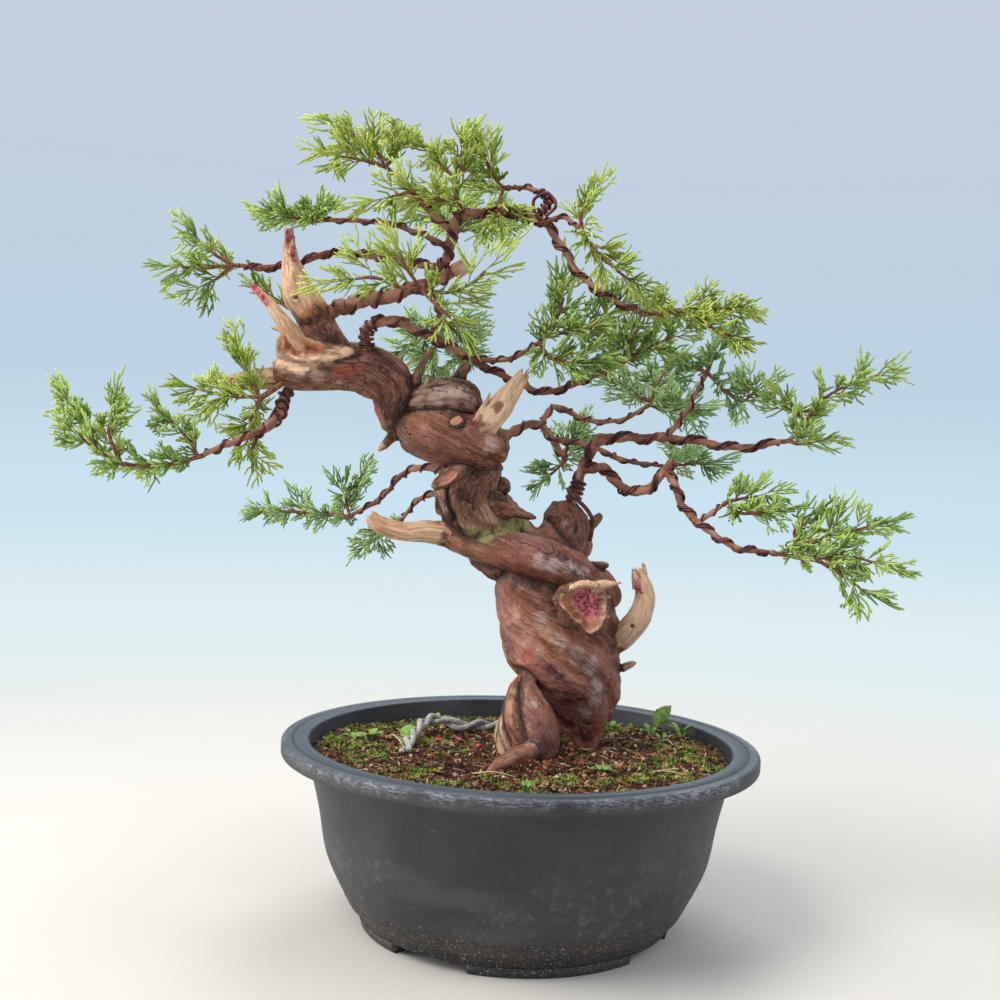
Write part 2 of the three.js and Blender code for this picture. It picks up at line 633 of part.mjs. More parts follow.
function addLimb(name, route, radii, options, color) {
  let limb = sweep(route, radii, options);
  for (const shell of shells) {
    limb = limb.subtract(shell);
  }
  limb = largestBody(limb);
  shells.push(sweep(route, radii, { ...options, grow: CLEAR }));
  taken.push(limb);
  addNode(name, limb, finish(color, 0.85));
}

for (const [name, stations] of Object.entries(DEADWOOD)) {
  addLimb(name, stations, stations.map((station) => station[3]), { sides: DEADWOOD_SIDES }, BARE_WOOD);
}
for (const [name, { route, radius }] of Object.entries(BOUGHS)) {
  addLimb(name, route, radius, { sides: LIMB_SIDES, ringGap: RING_GAP }, BARK);
}
for (const [name, mass] of Object.entries(MASSES)) {
  const solid = massSolid(mass, shells, taken);
  taken.push(solid);
  addNode(name, solid, finish(mass.leaf, 0.8));
}

// Centre the plant's own box over the origin, with the pot's feet on Z = 0.
const box = new THREE.Box3().setFromObject(plant);
const centre = box.getCenter(new THREE.Vector3());
plant.position.set(-centre.x, -centre.y, 0);

const bonsai = new THREE.Group();
bonsai.add(plant);

export default bonsai;
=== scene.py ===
"""Looks of a juniper bonsai in a round nursery pot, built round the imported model.

Shapes are worked out in millimetres from the pot's axis at table level, as in the part's source,
and become metres in the row's frame when a piece is made.
"""
import math

import bpy
import numpy as np
from mathutils import Matrix, Vector


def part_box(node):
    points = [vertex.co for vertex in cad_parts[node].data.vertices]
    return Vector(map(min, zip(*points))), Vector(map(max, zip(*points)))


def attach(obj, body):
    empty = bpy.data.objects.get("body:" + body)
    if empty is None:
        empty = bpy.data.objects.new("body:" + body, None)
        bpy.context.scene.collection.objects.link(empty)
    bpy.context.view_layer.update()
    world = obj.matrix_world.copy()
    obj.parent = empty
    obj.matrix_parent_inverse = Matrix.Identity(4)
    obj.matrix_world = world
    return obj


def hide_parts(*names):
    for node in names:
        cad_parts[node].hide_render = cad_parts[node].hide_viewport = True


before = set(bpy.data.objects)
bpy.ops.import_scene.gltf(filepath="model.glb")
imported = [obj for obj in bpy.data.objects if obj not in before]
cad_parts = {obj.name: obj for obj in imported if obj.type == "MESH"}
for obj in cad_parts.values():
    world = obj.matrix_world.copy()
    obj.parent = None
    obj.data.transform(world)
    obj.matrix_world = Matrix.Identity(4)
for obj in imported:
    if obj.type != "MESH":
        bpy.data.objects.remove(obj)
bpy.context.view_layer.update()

# Sizes that the part's source gives
POT_HEIGHT = 127
RIM_RADIUS = 165
MOUTH_RADIUS = 146
FOOT_RADIUS = 107
FOOT_WIDTH = 10
FOOT_HEIGHT = 6
SOIL_TOP = 118
SOIL_UNDERSIDE = 104
CROWN_TOP = 555
CLEAR = 0.3
FORK_REACH = 4
BUD_SPACING = 11
LIFT = 0.25
GOLDEN_ANGLE = math.radians(137.5)
UP = np.array([0.0, 0.0, 1.0])


def pot_axis():
    low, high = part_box("pot")
    return np.array([(low.x + high.x) / 2, (low.y + high.y) / 2, 0.0])


AXIS = pot_axis()


def unit(v):
    return v / np.maximum(np.linalg.norm(v, axis=-1, keepdims=True), 1e-9)


# Smooth random values


def lattice(x, y, z, seed):
    """One value from 0 to 1 for each whole-number place."""
    h = (x * 374761393 + y * 668265263 + z * 1103515245 + seed * 974711) & 0xFFFFFFFF
    h = ((h ^ (h >> 13)) * 1274126177) & 0xFFFFFFFF
    return ((h ^ (h >> 16)) & 0xFFFF) / 65535


def noise(places, seed=0):
    """Smooth noise from 0 to 1 at each place."""
    low = np.floor(places).astype(np.int64)
    f = places - low
    f = f * f * (3 - 2 * f)
    total = np.zeros(len(places))
    for i in (0, 1):
        for j in (0, 1):
            for k in (0, 1):
                share = np.abs(1 - i - f[:, 0]) * np.abs(1 - j - f[:, 1]) * np.abs(1 - k - f[:, 2])
                total += share * lattice(low[:, 0] + i, low[:, 1] + j, low[:, 2] + k, seed)
    return total


def rough(places, octaves=3, seed=0):
    """Noise from 0 to 1 with finer and finer detail on it."""
    total, size, weight = 0, 1.0, 0
    for octave in range(octaves):
        total = total + noise(places / size, seed + octave) * size
        weight += size
        size /= 2
    return total / weight


def steps(value, count):
    """Turns a slope into flat plates with steep edges, as flaking bark has."""
    level = value * count
    edge = np.clip((level % 1 - 0.5) * 4 + 0.5, 0, 1)
    return (np.floor(level) + edge * edge * (3 - 2 * edge)) / count


def ramp(value, low, high):
    """0 below low, 1 above high and a soft step between them."""
    share = np.clip((value - low) / (high - low), 0, 1)
    return share * share * (3 - 2 * share)


# Curves and tubes


def run_of(centres):
    """How far along a line each of its points is."""
    return np.concatenate([[0], np.cumsum(np.linalg.norm(np.diff(centres, axis=0), axis=1))])


def spread(values, t):
    """What values that are spread evenly over a curve are at places t on it."""
    return np.interp(t, np.linspace(0, 1, len(values)), values)


def around(sides):
    """Even angles round a circle."""
    return np.arange(sides) * 2 * math.pi / sides


class Route:
    """A smooth curve through points, bent as the part's source bends its limbs."""

    def __init__(self, points):
        p = np.array(points, float)
        self.p = np.vstack([2 * p[0] - p[1], p, 2 * p[-1] - p[-2]])
        self.spans = len(p) - 1
        self.shares = np.linspace(0, 1, 201)
        self.reach = run_of(self.at(self.shares))
        self.length = self.reach[-1]

    def at(self, t):
        place = np.clip(np.atleast_1d(t), 0, 1) * self.spans
        i = np.minimum(place.astype(int), self.spans - 1)
        w = (place - i)[:, None]
        a, b, c, d = (self.p[i + k] for k in range(4))
        before, here, after = (
            np.maximum(np.linalg.norm(y - x, axis=1)[:, None] ** 0.5, 1e-4)
            for x, y in ((a, b), (b, c), (c, d))
        )
        start = ((b - a) / before - (c - a) / (before + here) + (c - b) / here) * here
        end = ((c - b) / here - (d - b) / (here + after) + (d - c) / after) * here
        return (b + start * w + (3 * (c - b) - 2 * start - end) * w ** 2
                + (2 * (b - c) + start + end) * w ** 3)

    def even(self, share):
        """Turns shares of the length into places on the curve."""
        return np.interp(np.atleast_1d(share) * self.length, self.reach, self.shares)

    def way(self, t):
        t = np.atleast_1d(t)
        return unit(self.at(t + 1e-4) - self.at(t - 1e-4))

    def walk(self, gap, least=3):
        """Places about gap apart along the curve, and the points there."""
        count = max(least, int(round(self.length / gap)) + 1)
        t = self.even(np.linspace(0, 1, count))
        return t, self.at(t)


def carried(centres):
    """The way along a line at each of its points, and two ways square to it that never twist."""
    along = unit(np.gradient(centres, axis=0))
    out = np.array([0.0, -1.0, 0.0]) if abs(along[0][1]) < 0.9 else np.array([1.0, 0.0, 0.0])
    outs = []
    for way in along:
        out = unit(out - way * out.dot(way))
        outs.append(out)
    outs = np.array(outs)
    return along, outs, np.cross(outs, along)


def spokes(angle, out, side):
    """The ways out from each point of a line at each angle round it."""
    return np.cos(angle)[:, None] * out[:, None] + np.sin(angle)[:, None] * side[:, None]


def wound(centres, turn, reach):
    """A line that winds round another one, at an angle and a distance for each of its points."""
    _, out, side = carried(centres)
    return centres + np.reshape(reach, (-1, 1)) * (
        np.cos(turn)[:, None] * out + np.sin(turn)[:, None] * side)


def band_faces(rows, sides):
    """The square faces between rows of points, each row a closed ring."""
    row, corner = np.meshgrid(np.arange(rows - 1), np.arange(sides), indexing="ij")
    after = (corner + 1) % sides
    here, there = row * sides, (row + 1) * sides
    return np.stack([here + corner, there + corner, there + after, here + after], -1).reshape(-1, 4)


def cap_faces(middle, ring):
    """Triangles from a middle point to a ring of points."""
    return np.stack([np.full(len(ring), middle), ring, np.roll(ring, -1)], -1)


def tube_faces(rows, sides):
    """The faces of a closed tube, whose two middle points follow its rings."""
    ring, last = np.arange(sides), rows * sides
    ends = [cap_faces(last, ring), cap_faces(last + 1, ring + last - sides)[:, [0, 2, 1]]]
    return [band_faces(rows, sides), np.vstack(ends)]


def tube(centres, radii, sides, relief=None):
    """Points and faces of a closed tube. relief adds to its radius at (ring, angle)."""
    _, out, side = carried(centres)
    angle = around(sides)
    radius = np.repeat(np.asarray(radii, float)[:, None], sides, axis=1)
    if relief is not None:
        rings = np.arange(len(centres))[:, None]
        radius = np.maximum(radius + relief(rings, angle[None, :]), 0.05)
    skin = centres[:, None] + radius[..., None] * spokes(angle, out, side)
    points = np.vstack([skin.reshape(-1, 3), centres[:1], centres[-1:]])
    return points, tube_faces(len(centres), sides)


def lathe(profile, sides):
    """Points and faces of an outline of (radius, height) turned round the pot's axis."""
    profile = np.array(profile, float)
    angle = around(sides)
    points = np.stack([
        profile[:, :1] * np.cos(angle),
        profile[:, :1] * np.sin(angle),
        np.repeat(profile[:, 1:], sides, axis=1),
    ], -1).reshape(-1, 3)
    return points, band_faces(len(profile), sides)[:, [0, 3, 2, 1]]


def placed(name, data):
    """A new object in the scene."""
    thing = bpy.data.objects.new(name, data)
    bpy.context.scene.collection.objects.link(thing)
    return thing


class Heap:
    """Points and faces of many shapes that are gathered into one piece."""

    def __init__(self):
        self.points, self.faces, self.finish, self.marks = [], [], [], {}
        self.count = 0

    def add(self, points, faces, finish=0, **marks):
        """Adds groups of faces, with one finish for all or a list with one for each group."""
        finishes = finish if isinstance(finish, list) else [finish] * len(faces)
        for name in {**self.marks, **marks}:
            before = [np.zeros(self.count)] if self.count else []
            value = np.broadcast_to(marks.get(name, 0.0), (len(points),))
            self.marks[name] = self.marks.get(name, before) + [value]
        for group, value in zip(faces, finishes):
            self.faces.append(np.asarray(group) + self.count)
            self.finish.append(np.broadcast_to(value, (len(group),)))
        self.points.append(points)
        self.count += len(points)

    def piece(self, name, finishes, slot=None, replaces=(), smooth=True):
        """One object of all that was added, in the row's frame."""
        points = (np.vstack(self.points) / 1000 + AXIS).astype(np.float32)
        corners = np.concatenate([group.ravel() for group in self.faces])
        sizes = np.concatenate([np.full(len(g), g.shape[1]) for g in self.faces])
        mesh = bpy.data.meshes.new(name)
        mesh.vertices.add(len(points))
        mesh.vertices.foreach_set("co", points.ravel())
        mesh.loops.add(len(corners))
        mesh.loops.foreach_set("vertex_index", corners.astype(np.int32))
        mesh.polygons.add(len(sizes))
        starts = np.concatenate([[0], np.cumsum(sizes)[:-1]]).astype(np.int32)
        mesh.polygons.foreach_set("loop_start", starts)
        mesh.polygons.foreach_set("material_index", np.concatenate(self.finish).astype(np.int32))
        mesh.polygons.foreach_set("use_smooth", np.full(len(sizes), smooth))
        for mark, values in self.marks.items():
            layer = mesh.attributes.new(mark, "FLOAT", "POINT")
            layer.data.foreach_set("value", np.concatenate(values).astype(np.float32))
        mesh.update(calc_edges=True)
        for finish in finishes:
            mesh.materials.append(finish)
        piece = placed(name, mesh)
        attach(piece, "root")
        if replaces:
            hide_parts(*replaces)
        return piece


# Finishes


class Shade:
    """A shader value that takes part in Python expressions; each one adds its Math node."""

    def __init__(self, nodes, socket):
        self.nodes, self.socket = nodes, socket

    def math(self, operation, other):
        return self.nodes.node("ShaderNodeMath", {"operation": operation}, {0: self, 1: other})

    def __add__(self, other):
        return self.math("ADD", other)

    def __sub__(self, other):
        return self.math("SUBTRACT", other)

    def __rsub__(self, other):
        return (self * -1).math("ADD", other)

    def __mul__(self, other):
        return self.math("MULTIPLY", other)

    __radd__ = __add__
    __rmul__ = __mul__

    def between(self, low, high):
        """0 below low, 1 above high and a soft step between them."""
        return self.nodes.node("ShaderNodeMapRange", {"interpolation_type": "SMOOTHSTEP"},
                               {"Value": self, "From Min": low, "From Max": high})


class Nodes:
    """Lays down the nodes of a tree, each with its settings and the values of its sockets."""

    def __init__(self, tree):
        self.tree = tree

    def node(self, kind, settings=None, values=None, out=0):
        node = self.tree.nodes.new(kind)
        for name, setting in (settings or {}).items():
            setattr(node, name, setting)
        for name, value in (values or {}).items():
            socket = node.inputs[name]
            if isinstance(value, Shade):
                self.tree.links.new(value.socket, socket)
            else:
                socket.default_value = value
        return Shade(self, node.outputs[out])

    def mix(self, share, first, second):
        """Colours: first where share is 0 and second where it is 1."""
        values = {0: share, 6: first, 7: second}
        for i in (6, 7):
            if not isinstance(values[i], Shade):
                values[i] = (*values[i], 1.0)
        return self.node("ShaderNodeMix", {"data_type": "RGBA"}, values, out=2)


class Finish(Nodes):
    """One material."""

    def __init__(self, name, **constants):
        self.material = bpy.data.materials.new(name)
        self.material.use_nodes = True
        super().__init__(self.material.node_tree)
        self.shader = self.tree.nodes["Principled BSDF"]
        for socket, value in constants.items():
            self.shader.inputs[socket.replace("_", " ")].default_value = value
        self.place = self.node("ShaderNodeTexCoord", out="Object")

    def mark(self, name, vector=False):
        return self.node("ShaderNodeAttribute", {"attribute_name": name},
                         out="Vector" if vector else "Fac")

    def stretched(self, place, x, y, z):
        return self.node("ShaderNodeVectorMath", {"operation": "MULTIPLY"}, {0: place, 1: (x, y, z)})

    def warped(self, place, scale, reach, start=0.0):
        """A place pushed about by up to reach, so that what is laid on it wanders."""
        push = self.node("ShaderNodeTexNoise", None, {"Vector": place, "Scale": scale, "Detail": 3},
                         out="Color")
        push = self.node("ShaderNodeVectorMath", {"operation": "MULTIPLY_ADD"},
                         {0: push, 1: (reach, reach, reach), 2: (start, start, start)})
        return self.node("ShaderNodeVectorMath", {"operation": "ADD"}, {0: place, 1: push})

    def noise(self, scale, detail=4, place=None, distortion=0.0, roughness=0.55):
        return self.node("ShaderNodeTexNoise", None, {
            "Vector": place or self.place, "Scale": scale, "Detail": detail,
            "Distortion": distortion, "Roughness": roughness})

    def cells(self, scale, feature="F1", place=None):
        return self.node("ShaderNodeTexVoronoi", {"feature": feature},
                         {"Vector": place or self.place, "Scale": scale}, out="Distance")

    def feed(self, name, value):
        self.tree.links.new(value.socket, self.shader.inputs[name])

    def bump(self, *layers):
        """Each layer is (height, how far it stands out in metres)."""
        normal = None
        for height, distance in layers:
            values = {"Height": height, "Distance": distance, "Strength": 1.0}
            if normal:
                values["Normal"] = normal
            normal = self.node("ShaderNodeBump", None, values)
        self.feed("Normal", normal)


def rgb(red, green, blue):
    """A colour as it is seen, from 0 to 255, as light."""
    return tuple(
        v / 255 / 12.92 if v <= 10 else ((v / 255 + 0.055) / 1.055) ** 2.4
        for v in (red, green, blue)
    )


def bark_finish():
    """Bark in layers that peel along the grain, with cracks between plates, and the wood under it."""
    f = Finish("old_bark", Specular_IOR_Level=0.42)
    grain = f.mark("grain", vector=True)
    warp = f.warped(grain, 0.1, 7)
    fibres = f.noise(0.85, 6, f.stretched(grain, 1, 1, 0.08), roughness=0.65)
    strips = f.noise(0.2, 7, f.stretched(warp, 1, 1, 0.17), roughness=0.62)
    layer = f.noise(0.075, 7, f.stretched(warp, 1, 1, 0.3), roughness=0.58)
    under = f.noise(0.06, 7, f.stretched(f.warped(grain, 0.08, 9, 40), 1, 1, 0.28), roughness=0.6)
    plate = f.cells(0.125, "DISTANCE_TO_EDGE", f.stretched(warp, 1, 1, 0.3))
    cloud = f.noise(38, 5, roughness=0.65)
    speck = f.noise(560, 3)
    height = f.mark("height")
    sleek, mauve, bloom_and_sheen, dark = (f.mark(n) for n in ("sleek", "mauve", "bloom_and_sheen", "dark"))
    pale = f.mark("pale")
    bare, heart, rust, algae = (f.mark(n) for n in ("bare", "heart", "rust", "algae"))
    upper, lower = layer.between(0.495, 0.512), under.between(0.525, 0.543)
    rim = upper * (1 - upper) * 3
    flaky = f.mix(strips.between(0.4, 0.58), rgb(72, 38, 25), rgb(124, 80, 56))
    flaky = f.mix(upper * 0.5, flaky, rgb(144, 100, 74))
    flaky = f.mix(height.between(0.6, 0.9) * 0.4, flaky, rgb(182, 144, 118))
    smooth = f.mix(cloud.between(0.4, 0.6), rgb(120, 58, 40), rgb(146, 86, 62))
    smooth = f.mix(upper * 0.32, smooth, rgb(178, 114, 86))
    smooth = f.mix(lower * 0.6, smooth, rgb(104, 42, 32))
    smooth = f.mix(strips.between(0.5, 0.56) * 0.2, smooth, rgb(196, 148, 118))
    # The tan mark: lighter smooth bark, and on the surface root a painted highlight
    smooth = f.mix(f.mark("tan") * 0.75, smooth, f.mix(strips, rgb(146, 92, 68), rgb(200, 152, 122)))
    colour = f.mix(sleek, flaky, smooth)
    violet = f.mix(lower, f.mix(strips, rgb(104, 46, 43), rgb(140, 82, 80)), rgb(80, 32, 31))
    colour = f.mix(mauve * (0.6 + 0.4 * upper), colour, violet)
    # Partly painted sheen: whitish where light glances off smooth bark, partly a real bloom
    colour = f.mix(bloom_and_sheen * (0.2 + 0.45 * strips.between(0.4, 0.56)), colour, rgb(206, 180, 172))
    colour = f.mix(pale * (0.2 + 0.4 * strips.between(0.36, 0.52)), colour, rgb(196, 160, 142))
    warm = f.mix(strips.between(0.42, 0.6), rgb(98, 52, 34), rgb(140, 82, 56))
    colour = f.mix(f.mark("warm") * 0.8, colour, warm)
    colour = f.mix(fibres.between(0.54, 0.68) * (0.42 - 0.25 * sleek), colour, rgb(206, 170, 142))
    colour = f.mix((1 - fibres.between(0.34, 0.46)) * (0.6 - 0.22 * sleek), colour, rgb(70, 36, 26))
    colour = f.mix(rim * (0.85 - 0.45 * mauve), colour, rgb(214, 180, 154))
    colour = f.mix((1 - strips.between(0.28, 0.36)) * 0.5, colour, rgb(58, 30, 22))
    # Painted shade: low places of the relief, the seams where strands meet and knot dimples are darkened
    colour = f.mix((1 - height.between(0.04, 0.4)) * (0.9 - 0.3 * sleek), colour, rgb(46, 28, 22))
    red = f.mix(fibres.between(0.35, 0.65), rgb(136, 46, 36), rgb(188, 96, 62))
    colour = f.mix(rust * (0.35 + 0.65 * strips.between(0.36, 0.5)), colour, red)
    # Painted shade: nearly black where the dark mark is, for shadow under the ridge and in hollows and
    # seams, and for old black bark
    pitch = f.mix(fibres.between(0.4, 0.7), rgb(34, 21, 16), rgb(86, 54, 38))
    colour = f.mix(dark * (0.4 + 0.6 * strips.between(0.3, 0.55)), colour, pitch)
    colour = f.mix(algae * cloud.between(0.3, 0.5), colour, rgb(150, 144, 84))
    crack = cloud.between(0.45, 0.5) * (1 - 0.7 * sleek * (1 - under.between(0.51, 0.54)))
    crack = (1 - plate.between(0.005, 0.028)) * (crack + f.mark("plates") * (1 - crack))
    colour = f.mix(crack * (0.8 - 0.65 * algae), colour, rgb(44, 25, 20))
    colour = f.mix(speck.between(0.66, 0.72) * 0.3, colour, rgb(214, 198, 184))
    colour = f.mix(f.noise(1300, 3).between(0.68, 0.72) * 0.35, colour, rgb(52, 28, 22))
    wood = f.mix(fibres.between(0.34, 0.62), rgb(168, 122, 88), rgb(220, 184, 150))
    wood = f.mix(cloud.between(0.48, 0.68) * 0.6, wood, rgb(186, 124, 82))
    wood = f.mix(f.mark("cream") * 0.7, wood, rgb(236, 194, 160))
    wood = f.mix(f.mark("amber") * (0.45 + 0.5 * fibres.between(0.3, 0.5)), wood, rgb(162, 94, 54))
    # Painted shade: the wood darkened in its grooves, inside a hollow end and in holes
    wood = f.mix((1 - height.between(0.1, 0.55)) * 0.8, wood, rgb(108, 62, 40))
    pink = f.mix(f.noise(420, 4).between(0.4, 0.6), rgb(132, 34, 54), rgb(204, 108, 118))
    wood = f.mix(heart, wood, f.mix(fibres.between(0.5, 0.6) * 0.4, pink, rgb(214, 150, 146)))
    f.feed("Base Color", f.mix(bare, colour, wood))
    f.feed("Roughness", 0.62 + 0.24 * strips - 0.24 * sleek + 0.16 * bare)
    barky = 1 - bare * 0.75
    f.bump(((upper + 0.6 * lower) * barky, 0.0005), (crack * barky * -1, 0.0008),
           (strips * barky, 0.0012), (fibres * (barky - 0.25 * sleek), 0.0008),
           (f.noise(900, 3), 0.00012))
    return f.material


def bough_finish():
    f = Finish("bough_bark", Specular_IOR_Level=0.35)
    flow = f.noise(70, 5, distortion=0.5)
    fine = f.noise(520, 4)
    height = f.mark("height")
    colour = f.mix(flow.between(0.4, 0.62), rgb(118, 70, 52), rgb(166, 118, 94))
    colour = f.mix(fine.between(0.5, 0.75) * 0.4, colour, rgb(196, 158, 134))
    # Painted shade in the grooves between the bark's ridges
    colour = f.mix((1 - height.between(0.1, 0.55)) * 0.75, colour, rgb(70, 40, 33))
    colour = f.mix(f.mark("bare"), colour, f.mix(flow, rgb(190, 150, 112), rgb(228, 200, 164)))
    f.feed("Base Color", colour)
    f.feed("Roughness", 0.55 + 0.25 * fine)
    f.bump((flow, 0.0006), (fine, 0.0004))
    return f.material


def wire_finish():
    f = Finish("training_wire", Metallic=0.6, Specular_IOR_Level=0.5)
    worn = f.noise(160, 4)
    f.feed("Base Color", f.mix(worn.between(0.4, 0.65), rgb(66, 34, 33), rgb(118, 66, 62)))
    f.feed("Roughness", 0.34 + 0.22 * worn)
    f.bump((f.noise(900, 2), 0.00008),)
    return f.material


def leaf_finish(name, dark, light):
    """Scale leaves: each shoot a little lighter and darker along its overlapping scales."""
    f = Finish(name, Specular_IOR_Level=0.3)
    scales = f.noise(700, 2)
    f.feed("Base Color", f.mix(scales.between(0.22, 0.78), dark, light))
    f.feed("Roughness", 0.52 + 0.2 * scales)
    f.bump((f.cells(1100), 0.00005),)
    return f.material


def pot_finish():
    f = Finish("black_pot_plastic", Specular_IOR_Level=0.45)
    pebble = f.cells(820)
    cloud = f.noise(13, 4)
    smear = f.noise(9, 5, f.stretched(f.place, 1, 1, 3.5), distortion=0.8)
    scuff = f.noise(70, 6, f.stretched(f.place, 1, 1, 3.0), roughness=0.7)
    edge, dust, top, low = (f.mark(n) for n in ("edge", "dust", "top", "low"))
    speck = f.noise(620, 2).between(0.66, 0.74)
    colour = f.mix(cloud.between(0.35, 0.7), rgb(44, 42, 45), rgb(61, 58, 60))
    colour = f.mix(smear.between(0.5, 0.72) * 0.3, colour, rgb(96, 92, 94))
    chalk = f.noise(150, 6, roughness=0.75).between(0.5, 0.7) * cloud.between(0.42, 0.62)
    colour = f.mix(chalk * f.mark("chalk") * 0.55, colour, rgb(118, 114, 116))
    # Painted reflection of the sky: the rim's top is lighter and bluer than the rest
    colour = f.mix(top * 0.85, colour, f.mix(cloud, rgb(48, 57, 62), rgb(70, 81, 87)))
    colour = f.mix(scuff.between(0.62, 0.72) * 0.25, colour, rgb(122, 120, 120))
    worn = f.noise(240, 7, f.stretched(f.place, 1, 1, 4.0), roughness=0.8)
    patch = f.noise(24, 3).between(0.4, 0.58)
    colour = f.mix(edge * patch * worn.between(0.47, 0.56) * 0.6, colour, rgb(158, 158, 164))
    # Darker and browner below the chamfer and on the feet: partly grime, partly painted shade on faces
    # that look down
    colour = f.mix(low * 0.85, colour, f.mix(cloud.between(0.4, 0.6), rgb(36, 32, 31), rgb(54, 46, 42)))
    colour = f.mix(dust * speck * 0.85, colour, rgb(196, 184, 164))
    colour = f.mix(low * f.noise(800, 2).between(0.62, 0.7) * 0.7, colour, rgb(186, 176, 160))
    colour = f.mix(f.noise(900, 2).between(0.72, 0.78) * 0.5, colour, rgb(170, 166, 160))
    f.feed("Base Color", colour)
    f.feed("Roughness", 0.4 + 0.14 * cloud + 0.16 * scuff - 0.12 * top)
    f.bump((pebble, 0.0002), (scuff, 0.00015))
    return f.material


def grain_finish(name, dark, light, shine=0.75, scale=420, relief=0.0004):
    """Small rough things: soil, moss, dead matter and twigs."""
    f = Finish(name, Specular_IOR_Level=0.3)
    pores = f.noise(scale, 4)
    f.feed("Base Color", f.mix(pores.between(0.35, 0.65), dark, light))
    f.feed("Roughness", shine + 0.2 * pores)
    f.bump((pores, relief),)
    return f.material


OLD_BARK = bark_finish()
BOUGH_BARK = bough_finish()
WIRE = wire_finish()
BROWN_TWIG = grain_finish("brown_twig", rgb(96, 54, 38), rgb(150, 100, 74), 0.6, 480, 0.0003)
YOUNG_TWIG = grain_finish("young_twig", rgb(160, 92, 48), rgb(186, 132, 74), 0.6, 480, 0.0003)
# Dark and light of the tips, the shoots and the inner shoots
LEAF_COLOURS = {
    "bright": [[(172, 190, 76), (206, 216, 124)], [(136, 158, 56), (174, 190, 90)],
               [(94, 120, 42), (138, 156, 72)]],
    "mid": [[(160, 186, 88), (194, 210, 130)], [(124, 156, 68), (162, 184, 98)],
            [(88, 122, 54), (130, 158, 84)]],
    "deep": [[(154, 184, 112), (184, 206, 144)], [(118, 156, 86), (152, 182, 114)],
             [(82, 118, 66), (120, 148, 92)]],
}
FAMILIES = list(LEAF_COLOURS)
LEAVES = [leaf_finish(f"{family}_{place}", rgb(*dark), rgb(*light))
          for family, shades in LEAF_COLOURS.items()
          for place, (dark, light) in zip(("tip", "shoot", "inner"), shades)]
POT_PLASTIC = pot_finish()
SOIL_GRAINS = [
    grain_finish("soil_dark", rgb(30, 18, 12), rgb(58, 36, 24)),
    grain_finish("soil_red", rgb(104, 58, 34), rgb(150, 92, 58)),
    grain_finish("soil_tan", rgb(160, 120, 82), rgb(212, 176, 134)),
    grain_finish("soil_brown", rgb(58, 36, 22), rgb(98, 64, 40)),
]
MOSS = grain_finish("moss", rgb(62, 82, 22), rgb(106, 128, 44), 0.7)
MOSS_TIPS = grain_finish("moss_tips", rgb(112, 134, 46), rgb(160, 174, 80), 0.7)
PETAL = grain_finish("fallen_petal", rgb(176, 52, 56), rgb(214, 96, 98), 0.5)
ROOTLET = grain_finish("dry_rootlet", rgb(186, 146, 110), rgb(222, 190, 158), 0.6)
WEED = grain_finish("weed_leaf", rgb(100, 136, 56), rgb(142, 172, 88), 0.55)
GREY_WIRE = grain_finish("old_grey_wire", rgb(138, 134, 126), rgb(190, 186, 176), 0.5)

# Trunk: the same strands as in the part's source, [x, y, z, radius]

